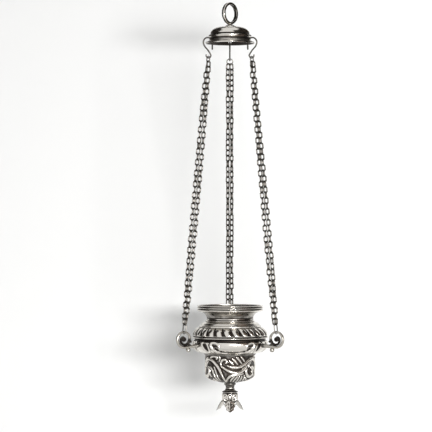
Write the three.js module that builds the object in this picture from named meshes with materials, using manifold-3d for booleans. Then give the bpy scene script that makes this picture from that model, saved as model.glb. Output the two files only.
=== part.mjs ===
// Hanging sanctuary lamp of silver: a ring and a small canopy, three S-hooks, three double-strand chains,
// and a bowl of stacked shells with scroll handles, a drop-in oil glass and a leaf finial.
// Millimetres, +Z up. The origin is the inside top of the hanging ring, where the lamp is hung up.
// The front is -Y, one chain hangs at the back (+Y) and two at the front left and right.

import * as THREE from "three";
import { mergeVertices } from "three/addons/utils/BufferGeometryUtils.js";
import Module from "manifold-3d";

const wasm = await Module();
wasm.setup();

// Whole lamp
const CLEARANCE = 0.3;
const HANGING_PLAY = 0.5;
const AROUND = 24;
const ARMS = { back: 90, left: 210, right: 330 };

// Hanging ring and its stud through the canopy
const RING_INNER_RADIUS = 8.5;
const RING_BAND = 2.5;
const RING_WIDTH = 3.6;
const RING_TURN = 50;
const STUD_RADIUS = 1.6;
const COLLAR_RADIUS = 4.2;
const COLLAR_HEIGHT = 0.9;
const NUT_RADIUS = 3.6;
const NUT_HEIGHT = 1.6;
const STUD_TAIL = 0.8;

// Canopy: heights are measured down from its crown
const CANOPY_WALL = 1.0;
const DOME_RADIUS = 19.4;
const DOME_HEIGHT = 6.8;
const DOME_FULLNESS = 2.6;
const CANOPY_BAND_RADIUS = 21.1;
const CANOPY_BAND_TOP = 8.4;
const CANOPY_BAND_BOTTOM = 10.6;
const CANOPY_WAIST_RADIUS = 20.6;
const CANOPY_WAIST_HEIGHT = 13.2;
const CANOPY_EDGE_RADIUS = 24.2;
const CANOPY_EDGE_TOP = 15.9;
const CANOPY_HEIGHT = 17.1;
const GROOVE_DEPTH = 0.5;

// S-hooks: the upper bend straddles the canopy's edge, the lower bend carries the chain
const HOOK_WIRE = 1.45;
const HOOK_BEND_RADIUS = 5.0;
const HOOK_TAIL = 6.5;
const HOOK_DROP = 12.3;
const HOOK_HOLE_PLAY = 0.5;
const EYE_BEND_RADIUS = 2.6;
const BEND_BEYOND_EDGE = 0.8;
const EYE_FROM_AXIS = 24.3;

// Chain: two strands of oval links side by side, with a wider link at each end
const LINKS_PER_STRAND = 48;
const LINK_LENGTH = 7.35;
const LINK_WIDTH = 3.9;
const LINK_WIRE = 1.0;
const LINK_THICKNESS = 0.85;
const LINK_SEAT = 0.1;
const LINK_TURN = 45;
const STRAND_SPACING = 3.8;
const STRAND_SPACING_AT_END = 1.7;
const TOP_LINK_LENGTH = 7.0;
const END_LINK_LENGTH = 11.2;
const JOINING_LINK_WIDTH = 6.8;
const JOINING_LINK_WIRE = 1.0;
const JOINING_LINK_CORNER = 1.0;

// Scroll handles, measured out from the body and down from the rim
const SCROLL_FROM_BODY = 14.9;
const SCROLL_DEPTH = 32.4;
const SCROLL_RADIUS = 8.7;
const SCROLL_BAND = 2.0;
const SCROLL_EYE_RADIUS = 1.9;
const SCROLL_THICKNESS = 2.4;
const SCROLL_TURNS = 0.95;
const SCROLL_STEP = 22.5;
const BEAD_RADIUS = 2.3;
const BEAD_FROM_SCROLL = 4.5;

// Bowl shells: heights are measured down from the rim
const BOWL_WALL = 1.0;
const RIM_RADIUS = 32.8;
const RIM_BAND = 2.5;
const RIM_HEIGHT = 6.0;
const RIM_GROOVE = 1.0;
const RIM_CORNER = 0.5;
const NECK_BELOW_RIM = 0.8;
const NECK_RADIUS = 23.4;
const NECK_DEPTH = 13.4;
const NECK_RING = 1.2;
const NECK_RING_TOP = 1.0;
const NECK_RING_BOTTOM = 2.2;
const CAVETTO_HEIGHT = 4.2;
const CAVETTO_SWELL = 1.6;
const SHOULDER_TOP_RADIUS = 28.2;
const SHOULDER_TOP_DEPTH = 18.6;
const LEDGE_RISE = 1.4;
const SHOULDER_RADIUS = 37.7;
const SHOULDER_DEPTH = 30.4;
const SHOULDER_BULGE = 4.2;
const GIRDLE_RADIUS = 38.0;
const GIRDLE_WIDTH = 3.4;
const GIRDLE_HEIGHT = 1.4;
const GIRDLE_CORNER = 0.4;
const BODY_RADIUS = 36.6;
const BODY_TOP_STEP = 0.9;
const BODY_TOP_BAND = 1.4;
const BODY_HEIGHT = 14.5;
const BODY_TUCK = 3.0;
const CUP_RADIUS = 24.8;
const CUP_LIP = 1.4;
const CUP_LIP_HEIGHT = 0.9;
const CUP_CORNER = 1.6;
const CUP_FOOT_RISE = 2.2;
const CUP_STRAIGHT = 20.4;
const CUP_HEIGHT = 28.7;

// Spool, finial and the stud that holds them to the cup
const SPOOL_HEIGHT = 9.3;
const SPOOL_FLANGE_RADIUS = 5.8;
const SPOOL_WAIST_RADIUS = 4.3;
const SPOOL_SWELL = 0.9;
const KNOP_RADIUS = 7.8;
const FINIAL_RADIUS = 7.7;
const FINIAL_BLOCK_HEIGHT = 8.4;
const FINIAL_CORE_HEIGHT = 13.2;
const FINIAL_STEP = 1.2;
const FINIAL_TIP = 1.8;
const FINIAL_HEIGHT = 18.0;
const PETAL_REACH = 15.8;
const PETAL_ROOT_DEPTH = 5.0;
const PETAL_WIDTH = 9.0;
const PETAL_THICKNESS = 2.4;
const FINIAL_SOCKET_DEPTH = 4.4;

// Oil glass and wick bridge
const GLASS_WALL = 1.4;
const GLASS_LIP_RADIUS = 25.4;
const GLASS_LIP_HEIGHT = 1.4;
const GLASS_LIP_FLARE = 2.2;
const GLASS_LIP_CORNER = 0.2;
const GLASS_FOOT_CORNER = 1.0;
const GLASS_FOOT_RADIUS = 14.0;
const GLASS_HEIGHT = 42;
const BRIDGE_REACH = 23.0;
const BRIDGE_WIDTH = 3.6;
const BRIDGE_THICKNESS = 0.8;
const WICK_TUBE_RADIUS = 2.2;
const WICK_TUBE_HEIGHT = 9;
const WICK_TUBE_LIP = 1.2;
const WICK_RADIUS = 1.2;
const WICK_LENGTH = 30;
const WICK_SHOWING = 2.5;

const SILVER = new THREE.MeshStandardMaterial({ color: 0xc9c7c2, roughness: 0.28, metalness: 1 });
const DARK_SILVER = new THREE.MeshStandardMaterial({ color: 0x6b6862, roughness: 0.45, metalness: 1 });
const GLASS = new THREE.MeshStandardMaterial({ color: 0xe6eeea, roughness: 0.05, metalness: 0 });
const COTTON = new THREE.MeshStandardMaterial({ color: 0xe9e2d0, roughness: 0.95, metalness: 0 });

const radians = THREE.MathUtils.degToRad;

// A closed mesh with shared vertices, without slivers on the axis, and with its faces pointing out
function closed(geometry) {
  geometry.deleteAttribute("normal");
  geometry.deleteAttribute("uv");
  const merged = mergeVertices(geometry, 1e-4);
  const position = merged.getAttribute("position");
  const corner = (index) => new THREE.Vector3().fromBufferAttribute(position, index);
  const kept = [];
  let volume = 0;
  for (let i = 0; i < merged.index.count; i += 3) {
    const [a, b, c] = [0, 1, 2].map((k) => merged.index.getX(i + k));
    if (a !== b && b !== c && c !== a) {
      kept.push(a, b, c);
      volume += corner(a).dot(corner(b).cross(corner(c)));
    }
  }
  merged.setIndex(volume < 0 ? kept.reverse() : kept);
  return merged;
}

function toSolid(geometry) {
  const shape = closed(geometry);
  return new wasm.Manifold(new wasm.Mesh({
    numProp: 3,
    vertProperties: Float32Array.from(shape.getAttribute("position").array),
    triVerts: Uint32Array.from(shape.index.array),
  }));
}

function fromSolid(solid) {
  const mesh = solid.getMesh();
  const geometry = new THREE.BufferGeometry();
  geometry.setAttribute("position", new THREE.BufferAttribute(Float32Array.from(mesh.vertProperties), 3));
  geometry.setIndex(Array.from(mesh.triVerts));
  return geometry;
}

// Turns a profile of [radius, height] points about the lamp's axis
function turned(profile, segments = AROUND) {
  const points = profile.map(([radius, height]) => new THREE.Vector2(radius, height));
  return closed(new THREE.LatheGeometry(points, segments).rotateX(Math.PI / 2));
}

function turnedRing(profile, segments = AROUND) {
  return turned([...profile, profile[0]], segments);
}

// The inside of a wall of even thickness under an outer profile. A wall's two ends are cut level or upright,
// and points marked "outside" are raised on the outside only.
function wallOf(outer, wall) {
  const inner = outer.map(([radius, height], i) => {
    const before = outer[Math.max(i - 1, 0)];
    const after = outer[Math.min(i + 1, outer.length - 1)];
    const along = new THREE.Vector2(after[0] - before[0], after[1] - before[1]).normalize();
    if (before !== outer[i] && after !== outer[i]) {
      return [radius + along.y * wall, height - along.x * wall];
    }
    const isUpright = Math.abs(along.y) > 0.5;
    return isUpright ? [radius + wall / along.y, height] : [radius, height - wall / along.x];
  });
  return inner.filter((point, i) => outer[i][2] !== "outside");
}

function radiusAt(profile, height) {
  const after = profile.findIndex((point) => point[1] <= height);
  const [upper, lower] = [profile[after - 1], profile[after]];
  const share = (height - upper[1]) / (lower[1] - upper[1]);
  return upper[0] + share * (lower[0] - upper[0]);
}

function heightAt(profile, radius) {
  const after = profile.findIndex((point) => point[0] <= radius);
  const [upper, lower] = [profile[after - 1], profile[after]];
  const share = (radius - upper[0]) / (lower[0] - upper[0]);
  return upper[1] + share * (lower[1] - upper[1]);
}

// Skins a row of rings that all have the same number of points
function loft(rings, isLoop) {
  const sides = rings[0].length;
  const positions = rings.flat().flatMap((point) => [point.x, point.y, point.z]);
  const index = [];
  const spans = isLoop ? rings.length : rings.length - 1;
  for (let ring = 0; ring < spans; ring += 1) {
    for (let side = 0; side < sides; side += 1) {
      const a = ring * sides + side;
      const b = ring * sides + (side + 1) % sides;
      const c = (ring + 1) % rings.length * sides + (side + 1) % sides;
      const d = (ring + 1) % rings.length * sides + side;
      index.push(a, b, c, a, c, d);
    }
  }
  const last = (rings.length - 1) * sides;
  for (let side = 1; !isLoop && side < sides - 1; side += 1) {
    index.push(0, side + 1, side, last, last + side, last + side + 1);
  }
  const geometry = new THREE.BufferGeometry();
  geometry.setAttribute("position", new THREE.BufferAttribute(Float32Array.from(positions), 3));
  geometry.setIndex(index);
  return closed(geometry);
}

function regularShape(radius, sides) {
  const shape = new THREE.Shape();
  for (let side = 0; side < sides; side += 1) {
    const angle = 2 * Math.PI * side / sides;
    shape[side === 0 ? "moveTo" : "lineTo"](radius * Math.cos(angle), radius * Math.sin(angle));
  }
  return shape;
}

// How far the full, flat-topped dome of the canopy has dropped at a radius
function domeDrop(radius) {
  const reach = (radius / DOME_RADIUS) ** DOME_FULLNESS;
  return DOME_HEIGHT * (1 - (1 - reach) ** (1 / DOME_FULLNESS));
}

const lamp = new THREE.Group();

function add(parent, name, geometry, material) {
  const mesh = new THREE.Mesh(closed(geometry), material);
  mesh.name = name;
  parent.add(mesh);
}

// Hanging ring with its stud, the collar under it, and the nut below the crown of the canopy
const ringRadius = RING_INNER_RADIUS + RING_BAND;
const ringBottom = RING_BAND - 2 * ringRadius;
const collarTop = ringBottom - CLEARANCE;
const crown = collarTop - COLLAR_HEIGHT - CLEARANCE;
const domeFlat = NUT_RADIUS + 2 * CLEARANCE;
const nutTop = crown - domeDrop(domeFlat) - CANOPY_WALL - CLEARANCE;
const studBottom = nutTop - NUT_HEIGHT - STUD_TAIL;
const studHole = STUD_RADIUS + CLEARANCE;

function ringWithStud() {
  const shoulder = RING_INNER_RADIUS + 0.6 * RING_BAND;
  const band = turnedRing([
    [RING_INNER_RADIUS, -RING_WIDTH / 2],
    [shoulder, -RING_WIDTH / 2],
    [ringRadius, 0],
    [shoulder, RING_WIDTH / 2],
    [RING_INNER_RADIUS, RING_WIDTH / 2],
  ]);
  band.rotateX(Math.PI / 2);
  band.rotateZ(radians(RING_TURN));
  band.translate(0, 0, -RING_INNER_RADIUS);
  const studTop = ringBottom + RING_BAND / 2;
  const stud = new THREE.CylinderGeometry(STUD_RADIUS, STUD_RADIUS, studTop - studBottom, 10);
  stud.rotateX(Math.PI / 2);
  stud.translate(0, 0, (studTop + studBottom) / 2);
  return fromSolid(toSolid(band).add(toSolid(stud)));
}

function collar() {
  return turnedRing([
    [studHole, collarTop],
    [COLLAR_RADIUS - COLLAR_HEIGHT, collarTop],
    [COLLAR_RADIUS, collarTop - COLLAR_HEIGHT / 2],
    [COLLAR_RADIUS, collarTop - COLLAR_HEIGHT],
    [studHole, collarTop - COLLAR_HEIGHT],
  ], 16);
}

function nut(bore, top) {
  return turnedRing([
    [bore, top],
    [NUT_RADIUS, top],
    [NUT_RADIUS, top - NUT_HEIGHT],
    [bore, top - NUT_HEIGHT],
  ], 6);
}

// Canopy: a spun dome, a groove, a moulding band and a concave skirt out to the edge
const skirtTop = crown - CANOPY_BAND_BOTTOM;
const canopyEdge = crown - CANOPY_HEIGHT;

function canopyProfile() {
  const shares = [0.5, 0.75, 0.93, 1];
  const radii = [studHole, domeFlat, ...shares.map((share) => share * DOME_RADIUS)];
  const dome = radii.map((radius) => [radius, crown - domeDrop(radius)]);
  return [
    ...dome,
    [DOME_RADIUS - GROOVE_DEPTH, crown - CANOPY_BAND_TOP + GROOVE_DEPTH, "outside"],
    [CANOPY_BAND_RADIUS, crown - CANOPY_BAND_TOP, "outside"],
    [CANOPY_BAND_RADIUS, skirtTop, "outside"],
    [CANOPY_WAIST_RADIUS - 0.4 * GROOVE_DEPTH, skirtTop - GROOVE_DEPTH],
    [CANOPY_WAIST_RADIUS, crown - CANOPY_WAIST_HEIGHT],
    [CANOPY_EDGE_RADIUS, crown - CANOPY_EDGE_TOP],
    [CANOPY_EDGE_RADIUS, canopyEdge],
  ];
}

// S-hook, drawn at the back arm in the radial plane: x is the distance from the lamp's axis
const bendFromAxis = CANOPY_EDGE_RADIUS + BEND_BEYOND_EDGE;
const bendHeight = canopyEdge;
const hookInner = bendFromAxis - HOOK_BEND_RADIUS;
const holeAngle = radians(143);
const holeFromAxis = bendFromAxis + HOOK_BEND_RADIUS * Math.cos(holeAngle);
const holeHeight = bendHeight + HOOK_BEND_RADIUS * Math.sin(holeAngle);
const eyeHeight = bendHeight - HOOK_DROP;
const chainTopHeight = eyeHeight - EYE_BEND_RADIUS + HOOK_WIRE / 2 + HANGING_PLAY;

function hook() {
  const upper = [180, 143, 105, 68, 30, 0].map((angle) => new THREE.Vector3(
    bendFromAxis + HOOK_BEND_RADIUS * Math.cos(radians(angle)),
    0,
    bendHeight + HOOK_BEND_RADIUS * Math.sin(radians(angle)),
  ));
  const lower = [180, 225, 270, 315, 375].map((angle) => new THREE.Vector3(
    EYE_FROM_AXIS + EYE_BEND_RADIUS * Math.cos(radians(angle)),
    0,
    eyeHeight + EYE_BEND_RADIUS * Math.sin(radians(angle)),
  ));
  const tail = new THREE.Vector3(hookInner, 0, bendHeight - HOOK_TAIL);
  const path = new THREE.CatmullRomCurve3([tail, ...upper, ...lower], false, "centripetal");
  return new THREE.ExtrudeGeometry(regularShape(HOOK_WIRE / 2, 5), { steps: 18, extrudePath: path });
}

function canopy() {
  const outer = canopyProfile();
  let shell = toSolid(turnedRing([...outer, ...wallOf(outer, CANOPY_WALL).reverse()]));
  const holeRadius = HOOK_WIRE / 2 + HOOK_HOLE_PLAY;
  for (const azimuth of Object.values(ARMS)) {
    const drill = new THREE.CylinderGeometry(holeRadius, holeRadius, 6 * CANOPY_WALL, 8);
    drill.rotateX(Math.PI / 2);
    drill.rotateY(Math.PI - holeAngle);
    drill.translate(holeFromAxis, 0, holeHeight);
    drill.rotateZ(radians(azimuth));
    shell = shell.subtract(toSolid(drill));
  }
  return fromSolid(shell);
}

// Chain, drawn along -Z from the hook's eye: x runs along the joining links' bars
const pitch = LINK_LENGTH - 2 * LINK_WIRE;
const topLinkInner = TOP_LINK_LENGTH - 2 * JOINING_LINK_WIRE;
const endLinkInner = END_LINK_LENGTH - 2 * JOINING_LINK_WIRE;
const strandTop = -topLinkInner + CLEARANCE;
const strandBottom = strandTop - LINKS_PER_STRAND * pitch;
const endLinkTop = strandBottom + HANGING_PLAY;
const chainLength = -(endLinkTop - endLinkInner);

// One link between two seats: the wire has one edge turned inward, where its neighbour sits
function link(from, to, turn) {
  const side = new THREE.Vector3(Math.cos(turn), Math.sin(turn), 0);
  const up = from.clone().sub(to);
  const reach = up.length() / 2;
  up.normalize();
  const across = new THREE.Vector3().crossVectors(up, side);
  const centre = from.clone().add(to).multiplyScalar(0.5);
  const at = (x, y, z) => {
    const point = centre.clone().addScaledVector(side, x);
    return point.addScaledVector(across, y).addScaledVector(up, z);
  };
  const corners = [[1, 1], [1, -1], [-1, -1], [-1, 1]];
  const rings = corners.map(([x, z]) => [
    at(x * (LINK_WIDTH / 2 - LINK_WIRE), 0, z * reach),
    at(x * LINK_WIDTH / 2, -LINK_THICKNESS / 2, z * (reach + LINK_WIRE)),
    at(x * LINK_WIDTH / 2, LINK_THICKNESS / 2, z * (reach + LINK_WIRE)),
  ]);
  return loft(rings, true);
}

function strandPoint(index, side) {
  const isEnd = index === 0 || index === LINKS_PER_STRAND;
  const spacing = isEnd ? STRAND_SPACING_AT_END : STRAND_SPACING;
  return new THREE.Vector3(side * spacing / 2, 0, strandTop - index * pitch);
}

function strand(side) {
  const links = [];
  for (let index = 0; index < LINKS_PER_STRAND; index += 1) {
    const from = strandPoint(index, side);
    const to = strandPoint(index + 1, side);
    const seat = to.clone().sub(from).normalize().multiplyScalar(LINK_SEAT / 2);
    const turn = radians(LINK_TURN + 90 * index);
    from.add(seat);
    to.sub(seat);
    links.push(toSolid(link(from, to, turn)));
  }
  return fromSolid(wasm.Manifold.union(links));
}

// A joining link of square wire with its corners cut, hanging down from a seat at the given height
function joiningLink(top, length) {
  const half = JOINING_LINK_WIDTH / 2;
  const wire = JOINING_LINK_WIRE;
  const middle = top - length / 2;
  const outline = (x, z, corner) => [
    [x, z - corner], [x - corner, z], [corner - x, z], [-x, z - corner],
    [-x, corner - z], [corner - x, -z], [x - corner, -z], [x, corner - z],
  ];
  const outer = outline(half, length / 2 + wire, JOINING_LINK_CORNER);
  const inner = outline(half - wire, length / 2, 0.3 * JOINING_LINK_CORNER);
  const rings = outer.map(([x, z], i) => [
    new THREE.Vector3(inner[i][0], -wire / 2, middle + inner[i][1]),
    new THREE.Vector3(x, -wire / 2, middle + z),
    new THREE.Vector3(x, wire / 2, middle + z),
    new THREE.Vector3(inner[i][0], wire / 2, middle + inner[i][1]),
  ]);
  return loft(rings, true);
}

// The chain leans out from the hook's eye to the top of the scroll
const scrollFromAxis = BODY_RADIUS + SCROLL_FROM_BODY;
const chainLean = Math.asin((scrollFromAxis - EYE_FROM_AXIS) / chainLength);
const scrollSeat = SCROLL_DEPTH - SCROLL_RADIUS + SCROLL_BAND;
const rimHeight = chainTopHeight - chainLength * Math.cos(chainLean) + HANGING_PLAY + scrollSeat;

function hang(geometry) {
  geometry.rotateZ(Math.PI / 2);
  geometry.rotateY(-chainLean);
  geometry.translate(EYE_FROM_AXIS, 0, chainTopHeight);
  return geometry;
}

// Bowl shells, in heights below the rim
const neckTop = RIM_RADIUS - RIM_BAND - CLEARANCE;
const neckProfile = [
  [neckTop, -NECK_BELOW_RIM],
  [neckTop, -RIM_HEIGHT],
  [NECK_RADIUS + CAVETTO_SWELL, CAVETTO_HEIGHT - NECK_DEPTH],
  [NECK_RADIUS, -NECK_DEPTH],
  [NECK_RADIUS + NECK_RING, -NECK_DEPTH - NECK_RING_TOP, "outside"],
  [NECK_RADIUS + NECK_RING / 3, -NECK_DEPTH - NECK_RING_BOTTOM, "outside"],
  [NECK_RADIUS + NECK_RING, LEDGE_RISE - SHOULDER_TOP_DEPTH],
  [SHOULDER_TOP_RADIUS, -SHOULDER_TOP_DEPTH],
  [SHOULDER_TOP_RADIUS + SHOULDER_BULGE, -SHOULDER_TOP_DEPTH - 0.8 * SHOULDER_BULGE, "outside"],
  [0.25 * SHOULDER_TOP_RADIUS + 0.75 * SHOULDER_RADIUS, -0.4 * SHOULDER_TOP_DEPTH - 0.6 * SHOULDER_DEPTH],
  [SHOULDER_RADIUS, -SHOULDER_DEPTH],
];
const neckInside = wallOf(neckProfile, BOWL_WALL);

function rim() {
  const inner = RIM_RADIUS - RIM_BAND;
  return turnedRing([
    [inner, 0],
    [RIM_RADIUS - RIM_CORNER, 0],
    [RIM_RADIUS, -0.15 * RIM_HEIGHT],
    [RIM_RADIUS - RIM_GROOVE, -0.22 * RIM_HEIGHT],
    [RIM_RADIUS, -0.3 * RIM_HEIGHT],
    [RIM_RADIUS, -0.6 * RIM_HEIGHT],
    [RIM_RADIUS - RIM_GROOVE, -0.68 * RIM_HEIGHT],
    [RIM_RADIUS - 0.6 * RIM_CORNER, -0.76 * RIM_HEIGHT],
    [RIM_RADIUS - RIM_CORNER, -RIM_HEIGHT],
    [inner, -RIM_HEIGHT],
  ]);
}

function neckAndShoulder() {
  return turnedRing([...neckProfile, ...[...neckInside].reverse()]);
}

const girdleTop = -SHOULDER_DEPTH - CLEARANCE;
const bodyTop = girdleTop - GIRDLE_HEIGHT - CLEARANCE;
const bodyBottom = bodyTop - BODY_HEIGHT;
const cupTop = bodyBottom - CLEARANCE;
const cupBottom = cupTop - CUP_HEIGHT;
const cupLipRadius = CUP_RADIUS + CUP_LIP;

function girdle() {
  return turnedRing([
    [GIRDLE_RADIUS - GIRDLE_WIDTH, girdleTop],
    [GIRDLE_RADIUS - GIRDLE_CORNER, girdleTop],
    [GIRDLE_RADIUS, girdleTop - GIRDLE_HEIGHT / 2],
    [GIRDLE_RADIUS - GIRDLE_CORNER, girdleTop - GIRDLE_HEIGHT],
    [GIRDLE_RADIUS - GIRDLE_WIDTH, girdleTop - GIRDLE_HEIGHT],
  ]);
}

function body() {
  const outer = [
    [BODY_RADIUS - BODY_TOP_STEP, bodyTop],
    [BODY_RADIUS - BODY_TOP_STEP, bodyTop - BODY_TOP_BAND, "outside"],
    [BODY_RADIUS, bodyTop - 0.28 * BODY_HEIGHT],
    [BODY_RADIUS, bodyTop - 0.54 * BODY_HEIGHT],
    [BODY_RADIUS - BODY_TUCK, bodyTop - 0.75 * BODY_HEIGHT, "outside"],
    [0.65 * cupLipRadius + 0.35 * BODY_RADIUS, bodyTop - 0.9 * BODY_HEIGHT],
    [cupLipRadius, bodyBottom],
  ];
  return turnedRing([...outer, ...wallOf(outer, BOWL_WALL).reverse()]);
}

function lowerCup() {
  const straightBottom = cupTop - CUP_LIP_HEIGHT - CUP_STRAIGHT;
  const outer = [
    [cupLipRadius, cupTop],
    [cupLipRadius, cupTop - CUP_LIP_HEIGHT, "outside"],
    [CUP_RADIUS, cupTop - CUP_LIP_HEIGHT],
    [CUP_RADIUS, straightBottom],
    [CUP_RADIUS - CUP_CORNER, straightBottom - 0.75 * CUP_CORNER, "outside"],
    [0.6 * CUP_RADIUS, cupBottom + CUP_FOOT_RISE],
    [SPOOL_FLANGE_RADIUS, cupBottom],
    [studHole, cupBottom],
  ];
  return turnedRing([...outer, ...wallOf(outer, BOWL_WALL).reverse()]);
}

// Spool, finial and the stud through them
const spoolTop = cupBottom - CLEARANCE;
const spoolBottom = spoolTop - SPOOL_HEIGHT;
const finialTop = spoolBottom - CLEARANCE;
const bowlNutTop = cupBottom + BOWL_WALL + CLEARANCE + NUT_HEIGHT;

function spool() {
  return turnedRing([
    [studHole, spoolTop],
    [0.8 * SPOOL_FLANGE_RADIUS, spoolTop],
    [SPOOL_FLANGE_RADIUS, spoolTop - 0.12 * SPOOL_HEIGHT],
    [SPOOL_WAIST_RADIUS + 0.5 * SPOOL_SWELL, spoolTop - 0.3 * SPOOL_HEIGHT],
    [SPOOL_WAIST_RADIUS, spoolTop - 0.52 * SPOOL_HEIGHT],
    [SPOOL_WAIST_RADIUS + SPOOL_SWELL, spoolTop - 0.74 * SPOOL_HEIGHT],
    [KNOP_RADIUS, spoolTop - 0.9 * SPOOL_HEIGHT],
    [0.97 * KNOP_RADIUS, spoolBottom],
    [studHole, spoolBottom],
  ], 16);
}

function finialStud() {
  const top = bowlNutTop + STUD_TAIL;
  const bottom = finialTop - FINIAL_SOCKET_DEPTH + CLEARANCE;
  const stud = new THREE.CylinderGeometry(STUD_RADIUS, STUD_RADIUS, top - bottom, 10);
  stud.rotateX(Math.PI / 2);
  stud.translate(0, 0, (top + bottom) / 2);
  return stud;
}

// A leaf that leaves the finial's core and flares out and down to its tip
function petal() {
  const drop = FINIAL_HEIGHT - PETAL_ROOT_DEPTH;
  const stations = [
    { out: 0.36, down: 0.05, width: 0.6, thick: 1.0 },
    { out: 0.56, down: 0.3, width: 0.95, thick: 0.9 },
    { out: 0.7, down: 0.58, width: 1.0, thick: 0.75 },
    { out: 0.86, down: 0.84, width: 0.7, thick: 0.6 },
    { out: 1.0, down: 0.98, width: 0.25, thick: 0.45 },
  ];
  const rings = stations.map(({ out, down, width, thick }) => {
    const x = PETAL_REACH * out;
    const z = finialTop - PETAL_ROOT_DEPTH - drop * down;
    const half = PETAL_WIDTH * width / 2;
    const crest = PETAL_THICKNESS * thick / 2;
    return [
      new THREE.Vector3(x - crest, -half, z - crest),
      new THREE.Vector3(x + crest, 0, z + crest),
      new THREE.Vector3(x - crest, half, z - crest),
      new THREE.Vector3(x - crest * 1.6, 0, z - crest * 1.2),
    ];
  });
  return loft(rings, false);
}

function finial() {
  const socket = finialTop - FINIAL_SOCKET_DEPTH;
  const blockBottom = finialTop - FINIAL_BLOCK_HEIGHT;
  const coreBottom = finialTop - FINIAL_CORE_HEIGHT;
  let casting = toSolid(turned([
    [0, socket],
    [studHole, socket],
    [studHole, finialTop],
    [0.95 * FINIAL_RADIUS, finialTop],
    [FINIAL_RADIUS, finialTop - 0.3 * FINIAL_BLOCK_HEIGHT],
    [0.93 * FINIAL_RADIUS, blockBottom],
    [0.66 * FINIAL_RADIUS, blockBottom - FINIAL_STEP],
    [0.6 * FINIAL_RADIUS, coreBottom + FINIAL_TIP],
    [0.4 * FINIAL_RADIUS, coreBottom],
    [0, coreBottom - 0.15 * FINIAL_TIP],
  ], 18));
  for (const azimuth of Object.values(ARMS)) {
    casting = casting.add(toSolid(petal().rotateZ(radians(azimuth + 180))));
  }
  return fromSolid(casting);
}

// Scroll handle in the radial plane: out along the bottom, up, over and in to the eye
function handle() {
  const centreline = SCROLL_RADIUS - SCROLL_BAND / 2;
  const rootFromAxis = BODY_RADIUS + CLEARANCE;
  const rootHeight = bodyTop - 0.42 * BODY_HEIGHT;
  const outerEdge = [[rootFromAxis, rootHeight - SCROLL_BAND / 2]];
  const innerEdge = [[rootFromAxis, rootHeight + SCROLL_BAND / 2]];
  const lastAngle = 90 + 360 * SCROLL_TURNS;
  for (let angle = -90; angle <= lastAngle; angle += SCROLL_STEP) {
    const wound = Math.max(angle - 90, 0) / 360;
    const radius = centreline - (centreline - SCROLL_EYE_RADIUS) * wound;
    const half = SCROLL_BAND / 2 * (1 - 0.35 * wound);
    const [x, z] = [Math.cos(radians(angle)), Math.sin(radians(angle))];
    outerEdge.push([scrollFromAxis + (radius + half) * x, (radius + half) * z - SCROLL_DEPTH]);
    innerEdge.push([scrollFromAxis + (radius - half) * x, (radius - half) * z - SCROLL_DEPTH]);
  }
  const outline = [...outerEdge, ...innerEdge.reverse()].map(([x, z]) => new THREE.Vector2(x, z));
  const scroll = new THREE.ExtrudeGeometry(new THREE.Shape(outline), {
    depth: SCROLL_THICKNESS,
    bevelEnabled: false,
  });
  scroll.translate(0, 0, -SCROLL_THICKNESS / 2);
  scroll.rotateX(Math.PI / 2);
  const bead = new THREE.SphereGeometry(BEAD_RADIUS, 8, 5);
  bead.rotateX(Math.PI / 2);
  bead.translate(scrollFromAxis - BEAD_FROM_SCROLL, 0, -SCROLL_DEPTH - SCROLL_RADIUS - 0.6 * BEAD_RADIUS);
  return fromSolid(toSolid(scroll).add(toSolid(bead)));
}

// Oil glass: its flared lip seats in the hollow of the neck
const lipSeat = heightAt(neckInside, GLASS_LIP_RADIUS + CLEARANCE) + CLEARANCE;
const lipTop = lipSeat + GLASS_LIP_HEIGHT;

function oilGlass() {
  const bottom = lipTop - GLASS_HEIGHT;
  const throat = -NECK_DEPTH;
  const flare = CAVETTO_HEIGHT - NECK_DEPTH;
  const throatRadius = radiusAt(neckInside, throat) - 6 * CLEARANCE;
  return turned([
    [0, bottom],
    [GLASS_FOOT_RADIUS - GLASS_FOOT_CORNER, bottom],
    [GLASS_FOOT_RADIUS, bottom + GLASS_FOOT_CORNER],
    [throatRadius, throat],
    [radiusAt(neckInside, flare) - 2 * CLEARANCE, flare],
    [GLASS_LIP_RADIUS - GLASS_LIP_CORNER, lipSeat - GLASS_LIP_CORNER],
    [GLASS_LIP_RADIUS, lipTop],
    [throatRadius - GLASS_WALL + GLASS_LIP_FLARE, lipTop],
    [throatRadius - GLASS_WALL, throat],
    [GLASS_FOOT_RADIUS - GLASS_WALL, bottom + 2 * GLASS_WALL],
    [0, bottom + 2 * GLASS_WALL],
  ]);
}

const bridgeHeight = lipTop + CLEARANCE;
const tubeTop = bridgeHeight + BRIDGE_THICKNESS + WICK_TUBE_LIP;

function wickBridge() {
  const strip = new THREE.BoxGeometry(BRIDGE_WIDTH, 2 * BRIDGE_REACH, BRIDGE_THICKNESS);
  strip.translate(0, 0, bridgeHeight + BRIDGE_THICKNESS / 2);
  const tube = new THREE.CylinderGeometry(WICK_TUBE_RADIUS, WICK_TUBE_RADIUS, WICK_TUBE_HEIGHT, 12);
  tube.rotateX(Math.PI / 2);
  tube.translate(0, 0, tubeTop - WICK_TUBE_HEIGHT / 2);
  const boreRadius = WICK_RADIUS + CLEARANCE;
  const bore = new THREE.CylinderGeometry(boreRadius, boreRadius, 2 * WICK_TUBE_HEIGHT, 12);
  bore.rotateX(Math.PI / 2);
  bore.translate(0, 0, tubeTop - WICK_TUBE_HEIGHT / 2);
  return fromSolid(toSolid(strip).add(toSolid(tube)).subtract(toSolid(bore)));
}

function wick() {
  const top = tubeTop + WICK_SHOWING;
  const thread = new THREE.CylinderGeometry(WICK_RADIUS, WICK_RADIUS, WICK_LENGTH, 8);
  thread.rotateX(Math.PI / 2);
  thread.translate(0, 0, top - WICK_LENGTH / 2);
  return thread;
}

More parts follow.
